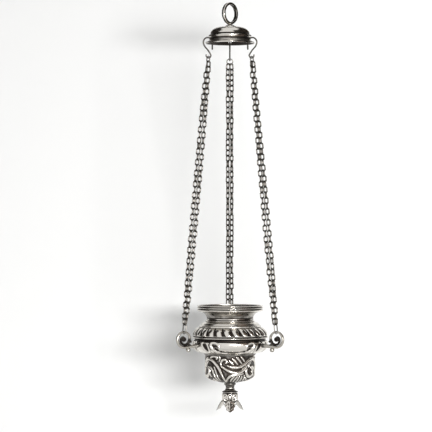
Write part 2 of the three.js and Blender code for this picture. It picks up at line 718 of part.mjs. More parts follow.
add(lamp, "hanging_ring", ringWithStud(), SILVER);
add(lamp, "ring_collar", collar(), SILVER);
add(lamp, "ring_nut", nut(studHole, nutTop), SILVER);
add(lamp, "canopy", canopy(), SILVER);

for (const [side, azimuth] of Object.entries(ARMS)) {
  const arm = new THREE.Group();
  arm.rotation.z = radians(azimuth);
  add(arm, `hook_${side}`, hook(), DARK_SILVER);
  add(arm, `top_link_${side}`, hang(joiningLink(0, topLinkInner)), DARK_SILVER);
  add(arm, `strand_a_${side}`, hang(strand(-1)), DARK_SILVER);
  add(arm, `strand_b_${side}`, hang(strand(1)), DARK_SILVER);
  add(arm, `end_link_${side}`, hang(joiningLink(endLinkTop, endLinkInner)), DARK_SILVER);
  lamp.add(arm);
}

const bowl = new THREE.Group();
bowl.position.z = rimHeight;
add(bowl, "bowl_rim", rim(), SILVER);
add(bowl, "neck_and_shoulder", neckAndShoulder(), SILVER);
add(bowl, "girdle_moulding", girdle(), SILVER);
add(bowl, "bowl_body", body(), SILVER);
add(bowl, "lower_cup", lowerCup(), SILVER);
add(bowl, "spool", spool(), SILVER);
add(bowl, "finial", finial(), SILVER);
add(bowl, "finial_stud", finialStud(), SILVER);
add(bowl, "finial_nut", nut(studHole, bowlNutTop), SILVER);
add(bowl, "oil_glass", oilGlass(), GLASS);
add(bowl, "wick_bridge", wickBridge(), SILVER);
add(bowl, "wick", wick(), COTTON);
for (const [side, azimuth] of Object.entries(ARMS)) {
  add(bowl, `handle_${side}`, handle().rotateZ(radians(azimuth)), SILVER);
}
lamp.add(bowl);

export default lamp;
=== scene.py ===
import math

import bpy
import numpy as np
from mathutils import Matrix, Vector


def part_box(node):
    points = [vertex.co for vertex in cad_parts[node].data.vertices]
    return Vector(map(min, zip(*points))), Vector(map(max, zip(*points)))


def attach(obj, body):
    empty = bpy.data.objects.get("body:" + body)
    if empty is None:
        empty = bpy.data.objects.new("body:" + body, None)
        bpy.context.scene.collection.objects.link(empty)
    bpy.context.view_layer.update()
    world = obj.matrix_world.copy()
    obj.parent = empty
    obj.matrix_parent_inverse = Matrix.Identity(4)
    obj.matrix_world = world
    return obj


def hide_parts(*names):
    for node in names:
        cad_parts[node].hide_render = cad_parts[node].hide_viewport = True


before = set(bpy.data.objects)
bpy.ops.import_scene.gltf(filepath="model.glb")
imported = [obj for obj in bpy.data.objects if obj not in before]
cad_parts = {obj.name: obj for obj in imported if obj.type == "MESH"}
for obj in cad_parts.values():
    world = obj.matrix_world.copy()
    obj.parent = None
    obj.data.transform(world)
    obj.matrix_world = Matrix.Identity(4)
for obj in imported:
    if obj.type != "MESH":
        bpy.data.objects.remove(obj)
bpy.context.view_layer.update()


# Studio: a plain white cove, its wall close behind the lamp, where the lamp's soft shadow falls, and its
# floor well below. Dark cards stand round the lamp, seen only in the silver, because polished metal shows
# nothing but its surroundings. Sizes in the studio are metres.
def linear(colour):
    """An sRGB hex colour as linear red, green, blue and alpha."""
    channels = [int(colour[i:i + 2], 16) / 255 for i in (1, 3, 5)]
    return [c / 12.92 if c <= 0.04045 else ((c + 0.055) / 1.055) ** 2.4 for c in channels] + [1.0]


def add_node(tree, kind, inputs=None, **settings):
    """Adds a node with its settings, and joins or sets its inputs. A node given as a source stands for its
    first output."""
    node = tree.nodes.new(kind)
    for name, value in settings.items():
        setattr(node, name, value)
    for socket, source in (inputs or {}).items():
        if isinstance(source, bpy.types.Node):
            source = source.outputs[0]
        if isinstance(source, bpy.types.NodeSocket):
            tree.links.new(source, node.inputs[socket])
        else:
            node.inputs[socket].default_value = source
    return node


def new_material(name):
    material = bpy.data.materials.new(name)
    material.use_nodes = True
    material.node_tree.nodes.clear()
    return material, material.node_tree


def new_object(name, data):
    thing = bpy.data.objects.new(name, data)
    bpy.context.scene.collection.objects.link(thing)
    return thing


def whiteness_seen(tree, share):
    """The share for rays from the camera, from a reflection or through glass, and 0 for all others."""
    rays = add_node(tree, "ShaderNodeLightPath")
    seen = rays.outputs["Is Camera Ray"]
    for kind in ("Is Glossy Ray", "Is Transmission Ray"):
        seen = add_node(tree, "ShaderNodeMath", {0: seen, 1: rays.outputs[kind]}, operation="MAXIMUM")
    return add_node(tree, "ShaderNodeMath", {0: seen, 1: share}, operation="MULTIPLY")


WALL_BEHIND = 0.1
WALL_TOP = 1.6
WALL_LEANS_BACK = 0.34
COVE_RADIUS = 0.2
COVE_STEPS = 8
COVE_HALF_WIDTH = 2.2
FLOOR_HEIGHT = -0.62
FLOOR_FRONT = -2.8
cove_line = [(WALL_BEHIND + WALL_LEANS_BACK, WALL_TOP), (WALL_BEHIND, FLOOR_HEIGHT + COVE_RADIUS)]
for step in range(1, COVE_STEPS + 1):
    angle = math.radians(90 * step / COVE_STEPS)
    cove_line.append((
        WALL_BEHIND - COVE_RADIUS * (1 - math.cos(angle)),
        FLOOR_HEIGHT + COVE_RADIUS * (1 - math.sin(angle)),
    ))
cove_line.append((FLOOR_FRONT, FLOOR_HEIGHT))
cove_mesh = bpy.data.meshes.new("cove")
cove_mesh.from_pydata(
    [(x, y, z) for y, z in cove_line for x in (-COVE_HALF_WIDTH, COVE_HALF_WIDTH)],
    [],
    [(2 * i, 2 * i + 2, 2 * i + 3, 2 * i + 1) for i in range(len(cove_line) - 1)],
)
cove_mesh.shade_smooth()
cove = new_object("cove", cove_mesh)

# Matt white paint, rolled on, which gives an even ground without shine. Away from the lamp it runs to pure
# white, and it is let through from behind, so that the lamp can be looked at from all sides.
PAINT_MIDDLE = (0, 0, -0.2)
PAINT_SHOWS_TO = 0.35
ALL_WHITE_FROM = 0.8
LEAST_WHITE = 0.05
paint, tree = new_material("matt_white_paint")
coat = add_node(tree, "ShaderNodeBsdfDiffuse", {"Color": linear("#f6f6f5")})
lit = add_node(tree, "ShaderNodeEmission", {"Color": (1, 1, 1, 1), "Strength": 1.0})
place = add_node(tree, "ShaderNodeTexCoord")
away = add_node(tree, "ShaderNodeVectorMath", {0: place.outputs["Object"], 1: PAINT_MIDDLE},
                operation="DISTANCE")
share = add_node(tree, "ShaderNodeMapRange", {
    0: away.outputs["Value"], 1: PAINT_SHOWS_TO, 2: ALL_WHITE_FROM, 3: LEAST_WHITE, 4: 1.0,
}, interpolation_type="SMOOTHSTEP")
whiteness = whiteness_seen(tree, share)
front = add_node(tree, "ShaderNodeMixShader", {0: whiteness, 1: coat, 2: lit})
clear = add_node(tree, "ShaderNodeBsdfTransparent")
facing = add_node(tree, "ShaderNodeNewGeometry").outputs["Backfacing"]
both = add_node(tree, "ShaderNodeMixShader", {0: facing, 1: front, 2: clear})
add_node(tree, "ShaderNodeOutputMaterial", {"Surface": both})
cove_mesh.materials.append(paint)

# Cards of board in matt paint, bent round the lamp, each from one azimuth to another. The low ones give the
# bowl its dark bands, and one of them is a warm grey. The high ones do the same for the canopy and ring.
CARD_STEPS = 12
CARD_DISTANCE = 0.2
CARD_FOOT = -0.335
CARD_SPLIT = -0.04
CARD_TOP = 0.34
for name, start, end, low, high, shade in (
    ("card_left", 146, 194, CARD_FOOT, CARD_SPLIT, "#2b2826"),
    ("card_right_edge", 288, 304, CARD_FOOT, CARD_SPLIT, "#2b2826"),
    ("card_right_warm", 304, 344, CARD_FOOT, CARD_SPLIT, "#8f7f74"),
    ("card_right", 344, 386, CARD_FOOT, CARD_SPLIT, "#2f2b29"),
    ("card_left_high", 100, 205, CARD_SPLIT, CARD_TOP, "#2b2826"),
    ("card_right_high", 292, 435, CARD_SPLIT, CARD_TOP, "#38322d"),
):
    card_paint, tree = new_material("matt_paint_" + name)
    card_coat = add_node(tree, "ShaderNodeBsdfDiffuse", {"Color": linear(shade)})
    add_node(tree, "ShaderNodeOutputMaterial", {"Surface": card_coat})
    corners = []
    for i in range(CARD_STEPS + 1):
        angle = math.radians(start + (end - start) * i / CARD_STEPS)
        for z in (low, high):
            corners.append((CARD_DISTANCE * math.cos(angle), CARD_DISTANCE * math.sin(angle), z))
    card_mesh = bpy.data.meshes.new(name)
    card_faces = [(2 * i, 2 * i + 1, 2 * i + 3, 2 * i + 2) for i in range(CARD_STEPS)]
    card_mesh.from_pydata(corners, [], card_faces)
    card_mesh.materials.append(card_paint)
    card = new_object(name, card_mesh)
    card.visible_camera = False
    card.visible_diffuse = False
    card.visible_shadow = False
    card.visible_transmission = False

# Daylight: full white where it is seen or reflected, but it lights the paint weakly, so shadows stay
world = bpy.data.worlds.new("studio")
world.use_nodes = True
tree = world.node_tree
tree.nodes.clear()
DAYLIGHT = 0.26
seen = whiteness_seen(tree, 1 - DAYLIGHT)
level = add_node(tree, "ShaderNodeMath", {0: seen, 1: DAYLIGHT}, operation="ADD")
sky = add_node(tree, "ShaderNodeBackground", {"Color": (1, 1, 1, 1), "Strength": level})
add_node(tree, "ShaderNodeOutputWorld", {"Surface": sky})
bpy.context.scene.world = world

# A long, narrow softbox to the right of the camera throws the shadow to the left
SOFTBOX_WIDTH = 0.85
SOFTBOX_HEIGHT = 0.22
SOFTBOX_WATTS = 23
SOFTBOX_PLACE = (0.5, -1.5, -0.15)
SOFTBOX_TARGET = (0, 0, -0.25)
light = bpy.data.lights.new("softbox", "AREA")
light.shape = "RECTANGLE"
light.size = SOFTBOX_WIDTH
light.size_y = SOFTBOX_HEIGHT
light.energy = SOFTBOX_WATTS
softbox = new_object("softbox", light)
softbox.location = SOFTBOX_PLACE
aim = Vector(SOFTBOX_TARGET) - softbox.location
softbox.rotation_euler = aim.to_track_quat("-Z", "Y").to_euler()

# A long lens held level, which keeps the upright lines of the lamp parallel
CAMERA_LENS = 180
CAMERA_SENSOR = 36
CAMERA_PLACE = (-0.0137, -2.117, -0.207)
camera_data = bpy.data.cameras.new("camera")
camera_data.lens = CAMERA_LENS
camera_data.sensor_width = CAMERA_SENSOR
camera = new_object("camera", camera_data)
camera.location = CAMERA_PLACE
camera.rotation_euler = (math.radians(90), 0, 0)
bpy.context.scene.camera = camera
bpy.context.scene.view_settings.view_transform = "Standard"


# Hanging ring: a cast silver ring with a rounded back, turned out of line with the front, and the round
# stud cast with it that goes down through the canopy. A small turned collar lies under its foot, and a
# hexagon nut below the crown holds the stud.
MM = 0.001
ARMS = {"back": 90, "left": 210, "right": 330}
SHARP_EDGE = 50


def heights(node):
    """The top and the bottom of a CAD node, in millimetres."""
    low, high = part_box(node)
    return high.z / MM, low.z / MM


def smooth_line(points, step):
    """Points about a step apart on a smooth line through the given ones."""
    knots = np.array(points, float)
    ends = [2 * knots[0] - knots[1]], [2 * knots[-1] - knots[-2]]
    padded = np.vstack([ends[0], knots, ends[1]])
    line = []
    for a, b, c, d in zip(padded, padded[1:], padded[2:], padded[3:]):
        count = max(2, math.ceil(np.linalg.norm(c - b) / step))
        t = np.linspace(0, 1, count, endpoint=False)[:, None]
        line.append(0.5 * (2 * b + (c - a) * t + (2 * a - 5 * b + 4 * c - d) * t ** 2
                           + (3 * b - a - 3 * c + d) * t ** 3))
    return np.vstack([*line, knots[-1:]])


def both_halves(points):
    """A flat line that ends at height 0, carried on by its own mirror image."""
    return points + [(x, -y) for x, y in points[-2::-1]]


def outline(top, step, *stretches):
    """A profile of smooth stretches that meet in sharp corners: radius and height, measured from top."""
    lines = [smooth_line(stretch, step) for stretch in stretches]
    return np.vstack(lines) + [0, top]


def turned(outer, inner, columns, relief=None, inner_shade=0.6):
    """Vertices, faces and darkness of a profile turned about the lamp's axis, outer downwards and inner back
    up.
    The relief gives how far each point of the outer face stands out, and how dark it is painted. The inner
    face is painted evenly dark, as shade."""
    azimuth = np.linspace(0, 2 * math.pi, columns, endpoint=False)
    along = np.gradient(outer, axis=0)
    out = np.stack([-along[:, 1], along[:, 0]], 1)
    out /= np.maximum(np.linalg.norm(out, axis=1, keepdims=True), 1e-9)
    radius = np.repeat(outer[:, :1], columns, 1)
    height = np.repeat(outer[:, 1:], columns, 1)
    dark = np.zeros_like(radius)
    if relief:
        lift, dark = relief(np.broadcast_to(azimuth, radius.shape), radius, height)
        radius, height = radius + lift * out[:, :1], height + lift * out[:, 1:]
    radius = np.vstack([radius, np.repeat(inner[:, :1], columns, 1)])
    height = np.vstack([height, np.repeat(inner[:, 1:], columns, 1)])
    dark = np.concatenate([dark.ravel(), np.full(len(inner) * columns, inner_shade)])
    vertices = np.stack([radius * np.cos(azimuth), radius * np.sin(azimuth), height], 2).reshape(-1, 3)
    rows = len(radius)
    row, column = np.meshgrid(np.arange(rows), np.arange(columns), indexing="ij")
    below, beside = (row + 1) % rows, (column + 1) % columns
    faces = np.stack([
        row * columns + column,
        below * columns + column,
        below * columns + beside,
        row * columns + beside,
    ], 2).reshape(-1, 4)
    return vertices, faces.tolist(), dark


def moved(part, matrix):
    """The same part, moved and turned by the matrix."""
    vertices, faces, dark = part
    matrix = np.array(matrix)
    return vertices @ matrix[:3, :3].T + matrix[:3, 3], faces, dark


def store_tarnish_and_painted_shade(mesh, dark, rounds, depth):
    """Stores how far each point lies below what surrounds it, from 0 on a crest to 1 in a hollow, where
    tarnish sits, or the darkness painted on it, much of it shade, where that is more."""
    count = len(mesh.vertices)
    place = np.empty(count * 3)
    mesh.vertices.foreach_get("co", place)
    place = place.reshape(-1, 3) / MM
    normal = np.empty(count * 3, np.float32)
    mesh.vertex_normals.foreach_get("vector", normal)
    ends = np.empty(len(mesh.edges) * 2, np.int32)
    mesh.edges.foreach_get("vertices", ends)
    first, second = ends.reshape(-1, 2).T
    near = np.bincount(first, minlength=count) + np.bincount(second, minlength=count)
    smooth = place.copy()
    for _ in range(rounds):
        total = np.stack([
            np.bincount(first, smooth[second, k], count) + np.bincount(second, smooth[first, k], count)
            for k in range(3)
        ], 1)
        smooth = 0.5 * smooth + 0.5 * total / np.maximum(near, 1)[:, None]
    below = ((smooth - place) * normal.reshape(-1, 3)).sum(1)
    tarnish_and_shade = mesh.attributes.get("tarnish_and_shade") or mesh.attributes.new("tarnish_and_shade", "FLOAT", "POINT")
    shade = np.maximum(np.clip(0.5 + below / depth / 2, 0, 1), dark)
    tarnish_and_shade.data.foreach_set("value", shade.astype(np.float32))


def add_piece(name, parts, material, body, slot, *nodes, rounds=24, depth=0.12):
    """One piece of the lamp from its parts in millimetres, in place of CAD nodes and riding on their body."""
    vertices, faces, dark, count = [], [], [], 0
    for part_vertices, part_faces, part_dark in parts:
        vertices.append(part_vertices)
        dark.append(part_dark)
        faces += [[count + corner for corner in face] for face in part_faces]
        count += len(part_vertices)
    mesh = bpy.data.meshes.new(name)
    mesh.from_pydata((np.vstack(vertices) * MM).tolist(), [], faces)
    mesh.set_sharp_from_angle(angle=math.radians(SHARP_EDGE))
    store_tarnish_and_painted_shade(mesh, np.concatenate(dark), rounds, depth)
    mesh.materials.append(material)
    piece = new_object(name, mesh)
    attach(piece, body)
    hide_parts(*nodes)
    return piece


TARNISH_CLOUD = 5.0
RUB_MARK = 1.2
HAMMER_MARK = 4.0
HAMMER_DEPTH = 0.12
TARNISH_UNEVENNESS = 0.24
DARKENING_EDGE = 0.26
TARNISH_ROUGHNESS = 0.3
RUB_SPREAD = 0.12


def silver_finish(name, bright, dark, roughness, darkening_from):
    """Sterling silver, worked by hand and rubbed, so that tarnish stays in the recesses: bright crests with
    crisp reflections, and soft brown-black lines between them. The same dark colour also carries the shade
    painted into each piece."""
    material, tree = new_material(name)
    place = add_node(tree, "ShaderNodeTexCoord").outputs["Object"]
    # The attribute holds tarnish in the hollows together with the shade painted into each piece
    tarnish_and_shade = add_node(tree, "ShaderNodeAttribute", attribute_name="tarnish_and_shade").outputs["Fac"]
    cloud, rub, hammered = (
        add_node(tree, "ShaderNodeTexNoise", {"Vector": place, "Scale": 1 / (size * MM), "Detail": detail})
        for size, detail in ((TARNISH_CLOUD, 3.0), (RUB_MARK, 2.0), (HAMMER_MARK, 1.0))
    )
    uneven = add_node(tree, "ShaderNodeMath", {0: cloud.outputs["Fac"], 1: TARNISH_UNEVENNESS, 2: tarnish_and_shade},
                      operation="MULTIPLY_ADD")
    darkened_share = add_node(tree, "ShaderNodeMapRange",
                      {0: uneven, 1: darkening_from, 2: darkening_from + DARKENING_EDGE},
                      interpolation_type="SMOOTHSTEP")
    colour = add_node(tree, "ShaderNodeMix", {0: darkened_share, 6: linear(bright), 7: linear(dark)},
                      data_type="RGBA")
    worn = add_node(tree, "ShaderNodeMath",
                    {0: rub.outputs["Fac"], 1: RUB_SPREAD, 2: roughness - RUB_SPREAD / 2},
                    operation="MULTIPLY_ADD")
    rough = add_node(tree, "ShaderNodeMath", {0: darkened_share, 1: TARNISH_ROUGHNESS, 2: worn},
                     operation="MULTIPLY_ADD")
    dents = add_node(tree, "ShaderNodeBump", {
        "Height": hammered.outputs["Fac"], "Strength": 0.25, "Distance": HAMMER_DEPTH * MM,
    })
    metal = add_node(tree, "ShaderNodeBsdfPrincipled", {
        "Base Color": colour.outputs[2], "Metallic": 1.0, "Roughness": rough, "Normal": dents,
    })
    add_node(tree, "ShaderNodeOutputMaterial", {"Surface": metal})
    return material


# Silver worked and then polished: light, with crisp reflections
SILVER = silver_finish("sterling_silver_polished", "#d6d2cb", "#332e2a", 0.17, 0.66)

RING_INNER = 8.5
RING_BACK = 11.0
RING_HALF_WIDTH = 1.8
RING_TURN = 50
STUD_RADIUS = 1.6
ring_foot = -RING_INNER - RING_BACK
stud_bottom = heights("hanging_ring")[1]
ring_face = smooth_line(both_halves([
    (RING_INNER + 0.1, RING_HALF_WIDTH - 0.15),
    (RING_INNER + 0.6, RING_HALF_WIDTH),
    (RING_INNER + 1.7, 0.98 * RING_HALF_WIDTH),
    (RING_BACK - 0.2, 0.75 * RING_HALF_WIDTH),
    (RING_BACK, 0),
]), 0.4)
ring_bore = smooth_line([(RING_INNER, 0.6 - RING_HALF_WIDTH), (RING_INNER, RING_HALF_WIDTH - 0.6)], 0.8)
stand_up = (
    Matrix.Translation((0, 0, -RING_INNER))
    @ Matrix.Rotation(math.radians(RING_TURN), 4, "Z")
    @ Matrix.Rotation(math.radians(90), 4, "X")
)
stud_face = outline(0, 0.5, [
    (0.9, ring_foot + 2.2), (2.6, ring_foot + 1.3), (3.1, ring_foot + 0.5), (2.4, ring_foot + 0.1),
], [(STUD_RADIUS, ring_foot - 0.1), (STUD_RADIUS, stud_bottom + 0.3), (STUD_RADIUS - 0.3, stud_bottom)])
stud_core = np.array([(0.05, stud_bottom), (0.05, ring_foot + 2.2)])
# The ring's bore is painted dark, as shade
add_piece(
    "hanging_ring_cast",
    [moved(turned(ring_face, ring_bore, 120, inner_shade=0.9), stand_up), turned(stud_face, stud_core, 32)],
    SILVER, "hanger", "bright_silver", "hanging_ring",
)

COLLAR_RADIUS = 4.2
collar_top, collar_bottom = heights("ring_collar")
collar_height = collar_top - collar_bottom
collar_face = outline(collar_top, 0.2, [
    (STUD_RADIUS + 0.3, 0), (COLLAR_RADIUS - 1.2, -0.05), (COLLAR_RADIUS, -0.5 * collar_height),
    (COLLAR_RADIUS - 0.1, -collar_height),
])
collar_bore = np.array([(STUD_RADIUS + 0.3, collar_bottom), (STUD_RADIUS + 0.3, collar_bottom + 0.4)])
add_piece("ring_collar_turned", [turned(collar_face, collar_bore, 48)], SILVER, "hanger", "bright_silver",
          "ring_collar")


# Canopy, or smoke bell: sheet silver spun to a shallow dome over a concave skirt, with a dark groove and a
# bright moulding band between them. Three holes are drilled in the skirt for the hooks.
crown, canopy_edge = heights("canopy")
canopy_face = outline(
    crown, 0.35,
    [(1.9, 0), (6.0, -0.15), (10.0, -0.5), (13.8, -1.4), (17.0, -3.2), (18.9, -5.4), (19.4, -7.0)],
    [(19.4, -7.0), (18.8, -7.7), (19.2, -8.4)],
    [(19.2, -8.4), (20.7, -8.6), (21.2, -9.3), (21.2, -9.7)],
    [(21.2, -9.7), (21.0, -9.85), (21.2, -10.0)],
    [(21.2, -10.0), (21.1, -10.6), (20.6, -11.1)],
    [(20.6, -11.1), (20.1, -11.9), (20.4, -13.4), (21.5, -14.8), (22.9, -15.6), (24.1, -15.8)],
    [(24.1, -15.8), (24.4, -16.4), (24.1, -17.04)],
)
canopy_hollow = outline(
    crown, 1.5,
    [(23.3, -17.04), (21.6, -15.9), (20.0, -14.4), (19.2, -12.2), (19.2, -10.2)],
    [(18.0, -8.4), (17.9, -6.2), (16.6, -4.2), (13.4, -2.4), (8, -1.4), (1.9, -1.0)],
)
# The canopy's hollow underside is painted black, as shade
canopy = add_piece("canopy_spun", [turned(canopy_face, canopy_hollow, 240, inner_shade=1.0)], SILVER, "canopy",
                   "bright_silver", "canopy")


# S-hooks: short lengths of silver wire bent to an S. The upper bend goes through its hole and over the
# canopy's edge, the lower one is closed to a small eye for the chain. Years in the air left them dark.
def tube_faces(rings, sides, is_loop=False):
    """Faces between rings of vertices that follow each other."""
    faces = []
    for ring in range(rings if is_loop else rings - 1):
        for side in range(sides):
            after, beside = (ring + 1) % rings, (side + 1) % sides
            faces.append((ring * sides + side, ring * sides + beside,
                          after * sides + beside, after * sides + side))
    return faces


def wire(path, sideways, half_width, half_depth, sides=12, is_loop=False, roundness=1.0, dark=0.0):
    """Vertices, faces and darkness of a wire of rounded section along a flat path, in millimetres."""
    path = np.asarray(path, float)
    sideways = np.asarray(sideways, float)
    if is_loop:
        along = np.roll(path, -1, 0) - np.roll(path, 1, 0)
    else:
        along = np.gradient(path, axis=0)
    along /= np.linalg.norm(along, axis=1, keepdims=True)
    depthways = np.cross(along, sideways)
    wide = np.broadcast_to(half_width, len(path))[:, None, None]
    deep = np.broadcast_to(half_depth, len(path))[:, None, None]
    turn = np.linspace(0, 2 * math.pi, sides, endpoint=False)
    across, through = (np.sign(f(turn)) * np.abs(f(turn)) ** roundness for f in (np.cos, np.sin))
    rings = (path[:, None] + wide * across[None, :, None] * sideways
             + deep * through[None, :, None] * depthways[:, None])
    vertices = rings.reshape(-1, 3)
    count = len(path)
    faces = tube_faces(count, sides, is_loop)
    if not is_loop:
        for ring, direction in ((0, -1), (count - 1, 1)):
            tip = path[ring] + direction * along[ring] * 0.7 * float(deep[ring, 0, 0])
            vertices = np.vstack([vertices, tip])
            for side in range(sides):
                beside = (side + 1) % sides
                pair = (ring * sides + beside, ring * sides + side)
                faces.append((len(vertices) - 1, *(pair if ring == 0 else pair[::-1])))
    shade = np.repeat(np.broadcast_to(dark, count), sides)
    return vertices, faces, np.append(shade, np.full(len(vertices) - len(shade), np.max(dark)))


HOOK_WIRE = 1.45
EYE_FROM_AXIS = 24.3
BEND_FROM_AXIS = 25.0
BEND_RADIUS = 5.0
EYE_RADIUS = 2.6
HOOK_DROP = 12.3
# Drawn silver wire, tarnished and only rubbed by handling: a dull grey sheen over brown-grey
OXIDISED = silver_finish("sterling_silver_oxidised", "#8b8781", "#433f3a", 0.3, 0.4)


def arc(centre, radius, start, end, step=12):
    """Points on an arc in the plane of one arm: distance from the axis and height."""
    count = max(2, round(abs(end - start) / step) + 1)
    return [
        (centre[0] + radius * math.cos(math.radians(a)), centre[1] + radius * math.sin(math.radians(a)))
        for a in np.linspace(start, end, count)
    ]


def arm_matrix(side):
    """Turns the plane of the back arm, drawn along X, to the arm's own azimuth."""
    return Matrix.Rotation(math.radians(ARMS[side]), 4, "Z")


def upright(line):
    """A flat line of distances from the axis and heights, as points in the plane of an arm."""
    line = np.asarray(line, float)
    return np.stack([line[:, 0], 0 * line[:, 0], line[:, 1]], 1)


hook_line = smooth_line([
    (BEND_FROM_AXIS - BEND_RADIUS, canopy_edge - 6.4),
    *arc((BEND_FROM_AXIS, canopy_edge), BEND_RADIUS, 180, 0, 30),
    (BEND_FROM_AXIS + 3.6, canopy_edge - 3.6),
    (EYE_FROM_AXIS + 0.4, canopy_edge - 7.6),
    *arc((EYE_FROM_AXIS, canopy_edge - HOOK_DROP), EYE_RADIUS, 170, 372, 30),
], 0.4)
# Each hole runs up and outwards through the skirt, where its hook passes
HOLE_PLAY = 0.7
HOLE_FROM_AXIS = 20.5
hole_line = [(HOLE_FROM_AXIS - 2.6, 0, canopy_edge - 1.2), (HOLE_FROM_AXIS + 1.8, 0, canopy_edge + 5.4)]
hole_radius = HOOK_WIRE / 2 + HOLE_PLAY
hole = wire(hole_line, (0, 1, 0), hole_radius, hole_radius, sides=20)
drills = bpy.data.meshes.new("drills")
drill_places = [moved(hole, arm_matrix(side))[0] * MM for side in ARMS]
drills.from_pydata(
    np.vstack(drill_places).tolist(), [],
    [[corner + number * len(hole[0]) for corner in face] for number in range(len(ARMS)) for face in hole[1]],
)
drill = new_object("drill", drills)
cut = canopy.modifiers.new("hook_holes", "BOOLEAN")
cut.object = drill
cut.solver = "EXACT"
drilled = bpy.data.meshes.new_from_object(canopy.evaluated_get(bpy.context.evaluated_depsgraph_get()))
canopy.modifiers.clear()
canopy.data = drilled
bpy.data.objects.remove(drill)

# The free end, under the canopy, is painted darkest, as shade
hook_shade = np.interp(np.linspace(0, 1, len(hook_line)), [0.12, 0.25, 1], [0.95, 0.45, 0.4])
hook = wire(upright(hook_line), (0, 1, 0), HOOK_WIRE / 2, HOOK_WIRE / 2, dark=hook_shade)
for side in ARMS:
    add_piece(f"hook_wire_{side}", [moved(hook, arm_matrix(side))], OXIDISED, f"hook_{side}", "chain_silver",
              f"hook_{side}", rounds=6, depth=0.1)


# Chains: each hook eye carries one wide link of thin wire, and from it hang two strands of oval links side
# by side, cut and soldered from thicker drawn wire. A longer link, as wide and thin as the first, gathers
# them again over the scroll of the handle.
LINKS = 48
LINK_PITCH = 5.35
LINK_WIDTH = 4.7
LINK_WIRE = 1.55
LINK_SECTIONS = 12
LINK_SIDES = 6
LINK_ROUNDING = 0.48
LOOSENESS = 24.0
STRAND_SPACING = 3.9
JOINING_WIDTH = 6.8
TOP_LINK_LENGTH = 7.0
END_LINK_LENGTH = 11.2
JOINING_WIRE = 1.0
PLAY = 0.5
GAP = 0.3
strand_top = GAP + 2 * JOINING_WIRE - TOP_LINK_LENGTH
strand_bottom = strand_top - LINKS * LINK_PITCH
end_link_top = strand_bottom + PLAY
chain_length = END_LINK_LENGTH - end_link_top - 2 * JOINING_WIRE
chain_top = canopy_edge - HOOK_DROP - EYE_RADIUS + HOOK_WIRE / 2 + PLAY
scroll_from_axis = 51.5
lean = math.asin((scroll_from_axis - EYE_FROM_AXIS) / chain_length)


def hang(side):
    """Places a thing drawn along -Z, its bars along X, on the hook's eye, leaning out to the handle."""
    return (
        arm_matrix(side)
        @ Matrix.Translation((EYE_FROM_AXIS, 0, chain_top))
        @ Matrix.Rotation(-lean, 4, "Y")
        @ Matrix.Rotation(math.radians(90), 4, "Z")
    )


def long_link(top, length, width, thickness):
    """A stadium of round wire between two seats, its upper seat at the given height."""
    half = (width - thickness) / 2
    reach = (length - thickness) / 2 - half
    middle = top + thickness - length / 2
    line = []
    for centre, start in ((middle + reach, 0), (middle - reach, math.pi)):
        for a in np.linspace(start, start + math.pi, 13):
            line.append((half * math.cos(a), centre + half * math.sin(a)))
    return wire(upright(line), (0, 1, 0), 0.55 * thickness, 0.5 * thickness, is_loop=True)


def tree_input(tree, name, kind, value):
    """Adds a named input to a node tree, and gives the identifier of its socket."""
    entry = tree.interface.new_socket(name, in_out="INPUT", socket_type=kind)
    if value is not None:
        entry.default_value = value
    return entry.identifier


